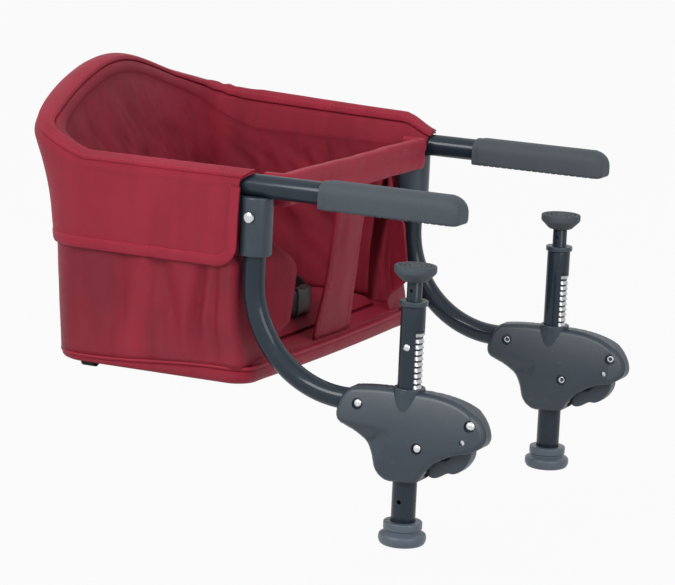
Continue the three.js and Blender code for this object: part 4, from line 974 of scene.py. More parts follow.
for side, plane, mirror in SIDES:
    lever = built(f"trigger_lever_{side}", lever_solid, plane, mirror, PLASTIC)
    carved(lever, [
        ("UNION", crossbar(EYE_RADIUS, *PIVOT, -TRIGGER_HALF, TRIGGER_HALF)),
        ("UNION", loft([[(x, y, z) for x, z in HORN] for y in (-HORN_HALF, HORN_HALF)])),
        ("DIFFERENCE", crossbar(PIN_HOLE, *PIVOT, -TRIGGER_HALF - 2, TRIGGER_HALF + 2)),
    ], plane, mirror)
    carried(lever, f"trigger_{side}", "plastic", f"trigger_{side}")

    spring = piped(f"spring_coil_{side}", sided(coil, plane, mirror), SPRING_WIRE, 10, ZINC)
    carried(spring, f"lower_arm_{side}", "zinc", f"trigger_spring_{side}")
    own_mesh(spring)

    plated(f"trigger_pin_{side}")
    plated(f"pawl_{side}")


# Posts: a painted tube that slides in the housing, with a long window through which a plated rack shows.
# A rivet holds the rack, a plastic collar closes the top, and a small hole goes through near the foot.

POST_TOP = -76
POST_BOTTOM = -280.6
WINDOW_TOP = -97.5
WINDOW_BOTTOM = -228.5
WINDOW_HALF = math.radians(50)
WINDOW_STEPS = 16
WALL_STEPS = 56
WALL_THICK = 1.6
WALL_ROUND = 0.3
FOOT_HOLE = 2
FOOT_HOLE_Z = -252
RACK_PITCH = 5.2
RACK_TEETH = 25
RACK_TOP = -98
RACK_HALF = math.radians(48)
RACK_FACE = 10.9
RACK_EDGE = 9.2
RACK_ROOT = 8.9
RACK_BACK = 7.4
RACK_RIVET_Z = -112
RACK_RIVET_DOME = [(0, -1.6), (1.4, -1.4), (2.5, -0.8), (3.2, 0), (2, 0.1)]
COLLAR_BORE = 7.15
COLLAR_SHANK = 9.05
COLLAR_RADIUS = 12.8
COLLAR_HEIGHT = 4.6
COLLAR_DEPTH = 15
COLLAR_ROUND = 0.9


def post_wall():
    """Points and faces of the tube's outer wall, open at the window."""
    levels = [POST_TOP, WINDOW_TOP, WINDOW_BOTTOM, POST_BOTTOM]
    angles = [WINDOW_HALF + (2 * math.pi - 2 * WINDOW_HALF) * k / WALL_STEPS for k in range(WALL_STEPS + 1)]
    angles += [-WINDOW_HALF + 2 * WINDOW_HALF * k / WINDOW_STEPS for k in range(1, WINDOW_STEPS)]
    size = len(angles)
    points = []
    for z in levels:
        points += [(POST_X + POST_RADIUS * math.cos(a), POST_RADIUS * math.sin(a), z) for a in angles]
    faces = []
    for i in range(3):
        for k in range(size):
            if i == 1 and k >= WALL_STEPS:
                continue
            a = i * size + k
            b = i * size + (k + 1) % size
            faces.append((a, b, b + size, a + size))
    return points, faces


def rack_skin(columns=18):
    """Points and faces of the rack: saw teeth round its front, a plain channel behind."""
    profile = [(RACK_EDGE, RACK_TOP + 0.3), (RACK_FACE, RACK_TOP), (RACK_FACE, RACK_TOP - 3.2)]
    for k in range(1, RACK_TEETH):
        low = RACK_TOP - (k + 1) * RACK_PITCH
        profile += [(RACK_ROOT, low + RACK_PITCH - 0.6), (RACK_EDGE, low + RACK_PITCH - 1.3)]
        profile += [(RACK_FACE - 0.2, low + 1.0), (RACK_FACE, low + 0.5)]
    profile += [(RACK_EDGE, RACK_TOP - RACK_TEETH * RACK_PITCH)]
    angles = [-RACK_HALF + 2 * RACK_HALF * k / columns for k in range(columns + 1)]
    rings = []
    for radius, z in profile:
        ring = []
        for angle in angles:
            reach = radius * (1 - 0.10 * abs(angle / RACK_HALF) ** 6)
            ring.append((POST_X + reach * math.cos(angle), reach * math.sin(angle), z))
        for angle in reversed(angles):
            ring.append((POST_X + RACK_BACK * math.cos(angle), RACK_BACK * math.sin(angle), z))
        rings.append(ring)
    return loft(rings)


def rack_steel():
    """Plated steel, bright on the teeth, with painted shade in the gaps between them: dark, less metallic and rougher
    there.
    """
    material, net, place = begin("rack_steel")
    height = net.add("ShaderNodeSeparateXYZ", None, {0: place}, out="Z")
    turn = (height - RACK_TOP / 1000) * (2 * math.pi * 1000 / RACK_PITCH)
    # Painted shade: a mask that darkens the gap below each tooth.
    gap_shade = (turn + 2.2).sine().eased(-0.1, 0.7)
    cloudy = net.cloud(place, 300.0, 3.0)
    bright = net.between(cloudy, (0.34, 0.36, 0.39, 1), (0.56, 0.58, 0.61, 1))
    close(net, {
        "Base Color": net.between(gap_shade, bright, (0.03, 0.034, 0.04, 1)),
        "Metallic": 1.0 - gap_shade * 0.8,
        "Roughness": 0.28 + gap_shade * 0.3,
    })
    return material


RACK_STEEL = rack_steel()

rivet_seat = POST_RADIUS + 0.2
rack_rivet = [*((radius, y - rivet_seat) for radius, y in RACK_RIVET_DOME), (2, -7.4), (0, -7.4)]
collar_seat = POST_TOP + 0.3
collar_corners = [
    (COLLAR_BORE, collar_seat - COLLAR_DEPTH), (COLLAR_SHANK, collar_seat - COLLAR_DEPTH),
    (COLLAR_SHANK, collar_seat), (COLLAR_RADIUS, collar_seat),
    (COLLAR_RADIUS, collar_seat + COLLAR_HEIGHT), (COLLAR_BORE, collar_seat + COLLAR_HEIGHT),
]
collar_profile = rounded([*collar_corners, collar_corners[0]], COLLAR_ROUND)

for side, plane, mirror in SIDES:
    post = built(f"post_{side}", post_wall(), plane, mirror, PAINT)
    wall = post.modifiers.new("wall", "SOLIDIFY")
    wall.thickness = WALL_THICK / 1000
    wall.offset = -1
    edge = post.modifiers.new("edge", "BEVEL")
    edge.width = WALL_ROUND / 1000
    edge.segments = 2
    foot_hole = crossbar(FOOT_HOLE, POST_X, FOOT_HOLE_Z, -POST_RADIUS - 3, 0, 20)
    carved(post, [("DIFFERENCE", foot_hole)], plane, mirror)
    carried(post, f"post_{side}", "paint", f"post_tube_{side}")

    rack = built(f"rack_{side}", rack_skin(), plane, mirror, RACK_STEEL, sharp=40)
    carried(rack, f"post_{side}", "zinc", f"post_rack_{side}")

    rivet = built(f"rack_rivet_head_{side}", crosswise(rack_rivet, POST_X, RACK_RIVET_Z, 24), plane, mirror, ZINC)
    carried(rivet, f"post_{side}", "zinc", f"rack_rivet_{side}")

    collar = built(f"collar_{side}", turned(collar_profile, POST_X), plane, mirror, PLASTIC)
    carried(collar, f"post_{side}", "plastic", f"post_collar_{side}")


# Spindles and pads: a painted rod rises out of the post's collar and carries a ribbed rubber pad.
# The rod is tapped from below, and turning the knob drives it up or down.

PAD_TOP = -40
PAD_GROOVES = (6, 10, 14)
SPINDLE_HOLE = 1.5
SPINDLE_HOLE_Z = -62
spindle_profile = [(0, -68), (4.35, -68), (4.35, -160), (6.8, -160), (6.8, -48), (6.2, -46.9), (0, -46.9)]
pad_profile = [(0, PAD_TOP)]
for radius in PAD_GROOVES:
    pad_profile += [(radius - 0.7, PAD_TOP), (radius - 0.5, PAD_TOP - 0.8), (radius + 0.5, PAD_TOP - 0.8)]
    pad_profile += [(radius + 0.7, PAD_TOP)]
pad_profile += rounded([(16, PAD_TOP), (19, PAD_TOP), (19, PAD_TOP - 6), (11, PAD_TOP - 14), (7.15, PAD_TOP - 14)], 1.5)
pad_profile += [(7.15, PAD_TOP - 6.6), (0, PAD_TOP - 6.6)]

for side, plane, mirror in SIDES:
    spindle = built(f"spindle_rod_{side}", turned(spindle_profile, POST_X), plane, mirror, PAINT)
    cross_hole = crossbar(SPINDLE_HOLE, POST_X, SPINDLE_HOLE_Z, -10, 10, 20)
    carved(spindle, [("DIFFERENCE", cross_hole)], plane, mirror)
    carried(spindle, f"spindle_{side}", "paint", f"spindle_{side}")

    pad = built(f"pad_{side}", turned(pad_profile, POST_X), plane, mirror, RUBBER)
    carried(pad, f"spindle_{side}", "rubber", f"pressure_pad_{side}")


# Foot knobs: a grey moulded foot in two tiers, turned by hand, with a cup for the post's end.
# The drive screw stands in its floor and runs up inside the post.

GREY_PLASTIC = moulded_plastic("grey_plastic", (0.062, 0.084, 0.11, 1), (0.084, 0.106, 0.134, 1))
knob_profile = [(0, -291), (9, -291), (10, -292)]
knob_profile += rounded([(14, -292), (19.4, -292), (21.7, -287.5), (21.2, -282.6), (18.4, -281), (16.6, -280)], 2.2)
knob_profile += rounded([(16.6, -280), (16.6, -278.6), (17.5, -277.6), (17.5, -271), (11.35, -271)], 1.3)
knob_profile += [(11.35, -280.9), (4.35, -280.9), (4.35, -287.4), (0, -287.4)]

for side, plane, mirror in SIDES:
    knob = built(f"knob_{side}", turned(knob_profile, POST_X, segments=64), plane, mirror, GREY_PLASTIC)
    carried(knob, f"knob_{side}", "knob_plastic", f"foot_knob_{side}")
    plated(f"drive_screw_{side}")


# Rim and flap: one cloth goes over the tube from its seam with the lining, which lies on top at the right and inside
# elsewhere, and hangs outside as a flap. It runs from arm to arm, and on the left its fold stands above the tube.

ROLL_OUT = 15.2
ROLL_IN = 13.0
ROLL_UP = 11.8
SEAM_RIGHT = 84
SEAM_LEFT = 128
END_REACH = 8
END_REACH_LEFT = 22
END_RUN = 60
FOLD_STAND = 15.2
FOLD_SWELL = 6.4
FOLD_RUN = 160
FOLD_ENDS = (-46, -10)
FOLD_NARROWS = 0.016
RAISE_START = 0.72
RAISE_CURVE = 1.6
PUCKER_X = -244
PUCKER_RUN = 16
PUCKER_SIZE = 0.8
FLAP_FRONT = -44
FLAP_LEAVES = -4
FLAP_BELLY = 1.2
BACK_HOLLOW = -6
HEM_Z = -60
HEM_HALF = 187.5
HEM_BACK = -251
FOOT_Z = -151
FOOT_HALF = 183
FOOT_BACK = -243
CORNER = 20
FINE_CUTS = 12
WIDE_CUTS = 38
FAR_BEHIND = 999.0
WEAVE_PITCH = 0.0009
FLIP = Vector((1, -1, 1))


def cut_map(net):
    """The two lengths on a cloth as it was cut."""
    cut = net.add("ShaderNodeUVMap", {"uv_map": "cut"})
    return [net.add("ShaderNodeSeparateXYZ", None, {0: cut}, out=axis) for axis in "XY"]


def cloth(name, dark, light, rough):
    material, net, place = begin(name)
    lay, rise = cut_map(net)
    thread = 2 * math.pi / WEAVE_PITCH
    weave = (lay * thread).sine() * (rise * thread).sine()
    slub = net.cloud(place, 520.0, 3.0)
    fade = net.cloud(place, 17.0, 4.0)
    crush = net.cloud(place, 70.0, 5.0)
    # Painted shade and painted sheen: upright streaks stand in for the shading of soft folds and the satin's sheen.
    # They are mixed into the colour with a large cloud of uneven tone.
    painted_fold_streak = net.cloud(net.add("ShaderNodeMapping", None, {"Vector": place, "Scale": (48.0, 48.0, 5.0)}), 1.0, 3.0)
    tone = net.between((fade * 0.4 + painted_fold_streak * 0.6).eased(0.36, 0.64), dark, light)
    shade = tuple(c * 0.5 for c in dark[:3]) + (1,)
    close(net, {
        "Base Color": net.between((weave * 0.5 + 0.5) * 0.2 + slub * 0.1, tone, shade),
        "Roughness": rough + crush * 0.14,
        "Specular IOR Level": 0.28,
        "Sheen Weight": 0.03,
        "Sheen Roughness": 0.4,
        "Sheen Tint": (1.0, 0.4, 0.46, 1),
        "Normal": net.raised(weave * 0.25 + slub * 0.2 + crush * 2.2 + fade * 2.5, 0.0009, 0.6),
    })
    return material


RED_CLOTH = cloth("crimson_cloth", (0.26, 0.008, 0.025, 1), (0.318, 0.011, 0.034, 1), 0.46)


def eased(value, low, high):
    """0 at low and 1 at high, with a soft start and end."""
    share = min(1.0, max(0.0, (value - low) / (high - low)))
    return share * share * (3 - 2 * share)


def rear_path(half, back, count):
    """The rear of the seat in plan: a corner, the back and a corner, evenly spaced."""
    radius = RAIL_BACK - back
    line = []
    for k in range(33):
        angle = -math.pi / 2 - math.pi / 2 * k / 32
        line.append(Vector((RAIL_BACK + radius * math.cos(angle), radius - half + radius * math.sin(angle), 0)))
    line += [Vector((p.x, -p.y, 0)) for p in reversed(line)]
    return spaced(line, count)


Cut = namedtuple("Cut", "centre out hem foot raised behind")


def side_cut(front, behind):
    """A cut across the right wall: tube centre, way out, hem, foot, how far the fold is raised, way from the front."""
    x = front - behind
    return Cut(
        Vector((x, -ARM_PLANE, TUBE_HEIGHT)), Vector((0, -1, 0)),
        Vector((x, -HEM_HALF, HEM_Z)), Vector((x, -FOOT_HALF, FOOT_Z)), 0.0, behind,
    )


def rim_cuts(front):
    """Cuts across the wall from the right front round the back to the left front."""
    near = [float(k) for k in range(FINE_CUTS)]
    near += [FINE_CUTS + (front - RAIL_BACK - FINE_CUTS) * k / WIDE_CUTS for k in range(WIDE_CUTS)]
    right = [side_cut(front, behind) for behind in near]
    count = len(hoop) - 1
    hem = rear_path(HEM_HALF, HEM_BACK, count)
    foot = rear_path(FOOT_HALF, FOOT_BACK, count)
    rear = []
    for k in range(count + 1):
        ahead = hoop[min(k + 1, count)] - hoop[max(k - 1, 0)]
        out = Vector((0, 0, 1)).cross(ahead)
        out = Vector((out.x, out.y, 0)).normalized()
        low, base = Vector((hem[k].x, hem[k].y, HEM_Z)), Vector((foot[k].x, foot[k].y, FOOT_Z))
        raised = max(0.0, (k / count - RAISE_START) / (1 - RAISE_START)) ** RAISE_CURVE
        rear.append(Cut(hoop[k], out, low, base, raised, FAR_BEHIND))
    left = [Cut(*(v * FLIP for v in cut[:4]), 1.0, cut.behind) for cut in reversed(right)]
    return [*right, *rear, *left]


def over_tube(cut, degrees, swell=0.0):
    """A point on the cloth round the tube: 0 is outside, 90 on top, 180 inside. Its front end reaches ahead on top."""
    angle = math.radians(degrees)
    up = math.sin(angle)
    reach = (END_REACH + END_REACH_LEFT * cut.raised) * eased(degrees, 20, 75)
    reach *= max(0.0, 1 - cut.behind / END_RUN) ** 2
    ahead = Vector((reach, 0, 0))
    stand = (FOLD_STAND + FOLD_SWELL * min(1.0, cut.behind / FOLD_RUN)) * cut.raised
    stand *= 1 - eased(cut.centre.x + reach, *FOLD_ENDS)
    wide = (ROLL_OUT if math.cos(angle) > 0 else ROLL_IN) + swell
    wide *= 1 - FOLD_NARROWS * stand * max(0.0, up)
    tall = ROLL_UP + swell + (stand if up > 0 else 0.0)
    return cut.centre + ahead + cut.out * (wide * math.cos(angle)) + Vector((0, 0, tall * up))


def seam_of(cut):
    """Where on the roll the seam to the lining lies, in degrees."""
    return SEAM_RIGHT + (SEAM_LEFT - SEAM_RIGHT) * eased(cut.out.y, -0.95, -0.05)


def ripple(place, across, along, size):
    """A soft unevenness of cloth, longer in one direction than the other."""
    return size * noise.noise(Vector((place.x / across, place.y / across, place.z / along)))


def sheet_of(name, columns, material, thick):
    """A cloth from columns of points, with its own cut map in true lengths and its thickness to both sides."""
    runs = runs_of([column[len(column) // 2] for column in columns])
    uv = []
    for column, run in zip(columns, runs):
        uv += [(run, fall) for fall in runs_of(column)]
    points, faces = loft(columns, closed=False, capped=False)
    obj = shape(name, points, faces, material, sharp=60, uv=uv)
    wall = obj.modifiers.new("cloth", "SOLIDIFY")
    wall.thickness = thick / 1000
    wall.offset = 0
    wall.use_even_offset = True
    return obj


def hollow(cut):
    """How far the wall falls in between rim and hem: not at the sides, most at the back."""
    return BACK_HOLLOW * max(0.0, -cut.out.x)


def flap_at(cut, share):
    """A point on the hanging flap, share of the way from the roll to the hem."""
    place = over_tube(cut, FLAP_LEAVES).lerp(cut.hem, share)
    belly = FLAP_BELLY + hollow(cut) + ripple(place, 60, 45, 1.3)
    return place + cut.out * (belly * math.sin(math.pi * share))


def hem_lift(behind):
    """How much of the flap is cut away near its front, where its lower corner is rounded."""
    if behind >= CORNER:
        return 0.0
    return (CORNER - math.sqrt(CORNER ** 2 - (CORNER - behind) ** 2)) / (TUBE_HEIGHT - HEM_Z)


def gathers(cut, point, degrees):
    """The puckers where the raised fold leaves the hoop."""
    if cut.raised < 0.1 or degrees < 50:
        return 0.0
    near = math.exp(-((point.x - PUCKER_X) / PUCKER_RUN) ** 2)
    return PUCKER_SIZE * near * math.sin(point.x / 2.2 + degrees / 25)


def rucked(cut, degrees, swell):
    """A point on the roll with its unevenness."""
    point = over_tube(cut, degrees, swell)
    pucker = gathers(cut, point, degrees)
    return point + cut.out * (ripple(point, 34, 34, 0.7) + pucker) + Vector((0, 0, pucker))


def flap_columns():
    columns = []
    for cut in rim_cuts(FLAP_FRONT):
        seam = seam_of(cut)
        column = []
        for k in range(33):
            degrees = seam - (seam - FLAP_LEAVES) * k / 32
            column.append(rucked(cut, degrees, 0.0))
        length = 1 - hem_lift(cut.behind)
        column += [flap_at(cut, length * k / 20) for k in range(1, 21)]
        columns.append(column)
    return columns


rim_flap = sheet_of("rim_flap", flap_columns(), RED_CLOTH, 2.0)
carried(rim_flap, "frame", "fabric", "rim_sleeve", "side_flap_right", "side_flap_left", "back_flap")


# Rim tape: a second layer folded over the top of the rim, from the seam of the lining to a sewn edge outside.
# It is a strip of the same cloth, sewn down along both of its edges, and its colour is painted a little lighter as
# painted light.

RIM_TAPE_EDGE = 34
RIM_TAPE_LIE = 0.4
RIM_TAPE_PROUD = 1.9


def rim_tape_columns():
    columns = []
    for cut in rim_cuts(FLAP_FRONT):
        first = seam_of(cut) + 3
        column = []
        for k in range(29):
            share = k / 28
            proud = RIM_TAPE_LIE + RIM_TAPE_PROUD * min(1.0, 11 * share, 11 * (1 - share))
            column.append(rucked(cut, first + (RIM_TAPE_EDGE - first) * share, proud))
        columns.append(column)
    return columns


# Painted light: the crimson cloth copied a little lighter, for both the rim tape and the hem tape.
LIT_TAPE_CLOTH = cloth("lit_tape_cloth", (0.28, 0.01, 0.03, 1), (0.34, 0.013, 0.038, 1), 0.48)
rim_tape = sheet_of("rim_tape", rim_tape_columns(), LIT_TAPE_CLOTH, 1.4)
carried(rim_tape, "frame", "fabric")


# Hem tape: a narrow tape of the rim tape's cloth, folded round the flap's lower edge and up both of its front ends.
# One row of stitches through it holds the fold on the flap.

TAPE = 9
TAPE_SECTION = [(1.0, 0.5), (0.95, 1.3), (0.7, 1.5), (0.4, 1.5), (0.12, 1.4), (-0.06, 0.8), (-0.06, -0.7), (0.1, -1.4)]


def tape_run():
    """Columns across the tape on the right flap, from its front end down and round its lower corner."""
    fall = TUBE_HEIGHT - HEM_Z
    knee = (fall - CORNER) / fall
    run = [((0.0, knee * k / 14), (float(TAPE), knee * k / 14)) for k in range(14)]
    for k in range(13):
        angle = math.pi / 2 * k / 12
        side, down = math.cos(angle), math.sin(angle)
        inner = CORNER - TAPE
        run.append((
            (CORNER - CORNER * side, knee + CORNER * down / fall),
            (CORNER - inner * side, knee + inner * down / fall),
        ))
    return [
        [flap_at(side_cut(FLAP_FRONT, b0 + (b1 - b0) * w), s0 + (s1 - s0) * w) for w, _ in TAPE_SECTION]
        for (b0, s0), (b1, s1) in run
    ]


def other_side(columns):
    """The right side's columns again at the left, in the opposite order."""
    return [[p * FLIP for p in column] for column in reversed(columns)]


def tape_columns():
    front = [[p - Vector((0, rise, 0)) for p, (_, rise) in zip(column, TAPE_SECTION)] for column in tape_run()]
    hem = []
    for cut in rim_cuts(FLAP_FRONT):
        if cut.behind > CORNER:
            fall = (over_tube(cut, FLAP_LEAVES) - cut.hem).length
            hem.append([flap_at(cut, 1 - TAPE * w / fall) + cut.out * rise for w, rise in TAPE_SECTION])
    return [*front, *hem, *other_side(front)]


tape = sheet_of("hem_tape", tape_columns(), LIT_TAPE_CLOTH, 0.8)
carried(tape, "frame", "fabric")


# Bag: the seat's outer wall below the flap, one cloth from a turned-in edge at each leg opening round the back.
# It is sewn to the rim above and to the base below, and hangs in soft upright folds.

BAG_INSET = 2.8
BAG_FRONT = -46
BAG_TURN = 8
BAG_TOP = 6
BAG_ROWS = 30
BAG_FOLDS = [
    (13, 4, 4.0, 6), (31, 6, 7.5, 14), (58, 9, 5.0, -18),
    (84, 8, 3.4, 24), (114, 13, 5.0, 12), (150, 12, 3.0, -12),
]
SEAM_FALL = 4
SEAM_FALL_REAR = 8
FOOT_REACH = 8
FOOT_REACH_Z = -108
RETURN_HEAD = -4
RETURN_WAIST = -70
LEG_WAIST = 118
LEG_HEAD_OUT = 36
LEG_FOOT_OUT = 20
LEG_LEAN = 30
LEAN_Z = (-142, -112)
ARM_INSIDE = 152
SOCKET_ROOM = 7
SOCKET_ROOM_Z = (-62, -50)


def skin_at(cut, z):
    """The seat's outer surface at a cut and height: rim to hem, then hem to foot."""
    edge = cut.centre + cut.out * ROLL_OUT
    if z >= HEM_Z:
        share = (edge.z - z) / (edge.z - HEM_Z)
        return edge.lerp(cut.hem, share) + cut.out * (hollow(cut) * math.sin(math.pi * share))
    return cut.hem.lerp(cut.foot, (HEM_Z - z) / (HEM_Z - FOOT_Z))


def foot_seam(x):
    """Height of the seam between bag and base, which drops toward the rear."""
    return FOOT_Z - SEAM_FALL - SEAM_FALL_REAR * eased(-x, 60, 200)


def foot_reach(z):
    """How far the bag's front comes ahead toward the front of the base."""
    return FOOT_REACH * eased(z, FOOT_REACH_Z, FOOT_Z)


def bag_fold(run, share):
    """Depth of the soft folds along the wall: each has a place, a width, a depth and a lean. They fade at the hem."""
    deep = 0.0
    for spot, width, size, lean in BAG_FOLDS:
        deep += size * math.exp(-(((run - spot - lean * (share - 0.5)) / width) ** 2))
    return deep * math.sin(math.pi * min(1.0, share * 0.9 + 0.1)) ** 0.6


def leg_edge(z, foot):
    """The edge of the leg opening at a height: how far in it lies and how far it leans ahead, most in the middle."""
    above = eased(z, RETURN_WAIST, RETURN_HEAD)
    below = max(0.0, (RETURN_WAIST - z) / (RETURN_WAIST - foot))
    return LEG_WAIST + LEG_HEAD_OUT * above + LEG_FOOT_OUT * below, LEG_LEAN * (1 - above) * eased(z, *LEAN_Z)


def socket_room(z):
    """How far the turned-in front stands back where the arm's socket is."""
    return SOCKET_ROOM * eased(z, *SOCKET_ROOM_Z)


def bag_return(first):
    """Columns of the turned-in front edge, from its inner end round the corner, at the right."""
    columns = []
    for k in range(15):
        share = k / 14
        column = []
        for j in range(BAG_ROWS + 1):
            fall = j / BAG_ROWS
            z = RETURN_HEAD + (foot_seam(BAG_FRONT) - RETURN_HEAD) * fall
            inner, lean = leg_edge(z, foot_seam(BAG_FRONT))
            outer = -skin_at(first, z).y - BAG_INSET - BAG_TURN
            y = inner + (outer - inner) * share
            pull = ripple(Vector((y, 0, z)), 18, 60, 1.4) - socket_room(z)
            pull += lean * max(0.0, (ARM_INSIDE - y) / max(1.0, ARM_INSIDE - inner))
            column.append(Vector((BAG_FRONT + foot_reach(z) + pull, -y, z)))
        columns.append(column)
    for k in range(1, 9):
        angle = math.pi / 2 * k / 9
        top = RETURN_HEAD + (BAG_TOP - RETURN_HEAD) * min(1.0, k / 3)
        column = []
        for j in range(BAG_ROWS + 1):
            z = top + (foot_seam(BAG_FRONT) - top) * j / BAG_ROWS
            outer = -skin_at(first, z).y - BAG_INSET - BAG_TURN
            x = BAG_FRONT - BAG_TURN + foot_reach(z) + (BAG_TURN - socket_room(z)) * math.cos(angle)
            column.append(Vector((x, -outer - BAG_TURN * math.sin(angle), z)))
        columns.append(column)
    return columns


def bag_columns():
    cuts = rim_cuts(BAG_FRONT - BAG_TURN)
    runs = runs_of([cut.foot for cut in cuts])
    wall = []
    for cut, far in zip(cuts, runs):
        run = min(far, runs[-1] - far)
        column = []
        for j in range(BAG_ROWS + 1):
            z = BAG_TOP + (foot_seam(cut.foot.x) - BAG_TOP) * j / BAG_ROWS
            share = min(1.0, max(0.0, (HEM_Z - z) / (HEM_Z - FOOT_Z)))
            skin = skin_at(cut, z) + Vector((foot_reach(z) * max(0.0, 1 - cut.behind / END_RUN), 0, 0))
            inset = BAG_INSET + (bag_fold(run, share) + abs(ripple(skin, 22, 70, 1.1)) if share > 0 else 0.0)
            column.append(skin - cut.out * inset)
        wall.append(column)
    turned_in = bag_return(cuts[0])
    return [*turned_in, *wall, *other_side(turned_in)]


BAG_CLOTH = cloth("bag_cloth", (0.2, 0.007, 0.021, 1), (0.315, 0.011, 0.033, 1), 0.42)
bag = sheet_of("bag_wall", bag_columns(), BAG_CLOTH, 1.6)
carried(bag, "frame", "fabric", "side_panel_right", "side_panel_left", "back_panel")


# Lining: a darker cloth inside, sewn to the rim's seam and drawn down to the edge of the cushion.
# It is cut a little full, so that it creases slantwise below the rim, and cut back below the arm sockets.

LINING_CLOTH = cloth("lining_cloth", (0.213, 0.007, 0.022, 1), (0.28, 0.01, 0.029, 1), 0.5)
LINING_FOOT = -146
LINING_LEAVES = 205
LINING_INSET = 11
LINING_DRAWN = 19
CUT_BACK = 32
CUT_BACK_RUN = 50


def lining_columns():
    columns = []
    for cut in rim_cuts(FLAP_FRONT - 2):
        seam = seam_of(cut)
        column = []
        for k in range(16):
            degrees = seam - 8 + (LINING_LEAVES - seam) * k / 15
            column.append(over_tube(cut, degrees, -2.2 + 1.9 * eased(degrees, seam - 2, seam + 12)))
        end = cut.foot - cut.out * LINING_INSET
        end.z = LINING_FOOT
        fall = bow(column[-1], cut.hem - cut.out * LINING_DRAWN, end)
        back = CUT_BACK * max(0.0, 1 - cut.behind / CUT_BACK_RUN)
        for k in range(1, 33):
            share = k / 32
            place = fall(share) - Vector((back * eased(share, 0.0, 0.12), 0, 0))
            slant = Vector((place.x + place.z * 0.7, place.y + place.z * 0.7, place.z))
            crease = 2.2 + ripple(slant, 22, 90, 4.0) + ripple(place, 60, 60, 3.0)
            crease += ripple(slant, 9, 90, 4.5) * math.exp(-((share - 0.24) / 0.2) ** 2)
            gather = ripple(Vector((place.x - place.y, 0, 0)), 5, 5, 1.6) * math.exp(-((share - 0.07) / 0.1) ** 2)
            column.append(place - cut.out * (crease * math.sin(math.pi * share) ** 0.7 + gather))
        columns.append(column)
    return columns


lining = sheet_of("inner_lining", lining_columns(), LINING_CLOTH, 1.2)
carried(lining, "frame", "lining", "lining")


# Base: a stiff board in the same cloth, with a sewn band round its edge and a cord piped into the seam above it.
# The bag's foot is sewn into that seam, which drops a little toward the rear.

BASE_BOTTOM = -170
BASE_FRONT = -32
BASE_TURN = 20
BASE_CLEAR_SIDE = 1.2
BASE_CLEAR_BACK = 1.8
BASE_BOW = 3
BASE_BOW_HALF = 140
BASE_POINTS = 240
PIPING = 1.6


def base_plan(inset, front):
    """The base seen from above as an even ring of points, inset from the bag's foot."""
    half = FOOT_HALF - BAG_INSET - BASE_CLEAR_SIDE - inset
    back = FOOT_BACK + BAG_INSET + BASE_CLEAR_BACK + inset
    rear = RAIL_BACK - back
    line = []
    for cx, cy, radius, first in (
        (front - inset - BASE_TURN, BASE_TURN - half, BASE_TURN, 0),
        (RAIL_BACK, rear - half, rear, -math.pi / 2),
        (RAIL_BACK, half - rear, rear, -math.pi),
        (front - inset - BASE_TURN, half - BASE_TURN, BASE_TURN, -1.5 * math.pi),
    ):
        for k in range(17):
            angle = first - math.pi / 2 * k / 16
            line.append(Vector((cx + radius * math.cos(angle), cy + radius * math.sin(angle), 0)))
    ring = spaced([*line, line[0]], BASE_POINTS)[:-1]
    for p in ring:
        p.x += BASE_BOW * max(0.0, 1 - (p.y / BASE_BOW_HALF) ** 2) * eased(p.x, front - 50, front - 4)
    return ring


def base_rings():
    """Rings from the top over the seam down to the underside: inset, share of the way from seam to underside."""
    levels = [(30, None), (5.0, None), (4.2, 0.0), (1.2, 0.02), (-0.2, 0.12), (-0.8, 0.35), (-0.5, 0.62)]
    levels += [(0.8, 0.84), (3.0, 0.97), (6.5, 1.0), (30, 1.0)]
    rings = []
    for inset, share in levels:
        ring = []
        for p in base_plan(inset, BASE_FRONT):
            seam = foot_seam(p.x)
            z = FOOT_Z - 0.5 if share is None else seam + (BASE_BOTTOM - seam) * share
            wave = ripple(Vector((p.x, p.y, z * 3)), 40, 40, 0.6) if inset < 3 else 0.0
            ring.append((p.x, p.y, z + wave))
        rings.append(ring)
    return rings


points, faces = loft(base_rings())
base = shape("base_board", points, faces, RED_CLOTH, sharp=50, uv=[(p[0] + p[2], p[1] + p[2]) for p in points])
carried(base, "frame", "fabric", "seat_base")

piping_line = [(p.x, p.y, foot_seam(p.x)) for p in base_plan(-0.6, BASE_FRONT)]
piping = piped("base_piping", [*piping_line, piping_line[0]], PIPING, 10, RED_CLOTH)
carried(piping, "frame", "fabric")


# Cushion: a thin foam pad in lining cloth on the board, crowned in the middle and drawn in along its edges.
# Simulated cloth, blown up a little from inside, gives it its fullness and the puckers along its seam.

CUSHION_FRONT = -46
CUSHION_CLEAR = 12
CUSHION_EDGE = 3
CUSHION_CROWN = 11
CUSHION_FLOOR = FOOT_Z + 0.4
PUFF_PRESSURE = 4
PUFF_MOST = 4
PUFF_FRAMES = 20
VOXEL = 4.5


def cushion_rise(x, y):
    """Height of the cushion's top above the board before it is blown up."""
    middle = (CUSHION_FRONT + FOOT_BACK) / 2
    along = min(abs(x - middle) / (CUSHION_FRONT - middle), 1)
    aside = min(abs(y) / FOOT_HALF, 1)
    return CUSHION_EDGE + CUSHION_CROWN * (1 - along ** 4) * (1 - aside ** 4)


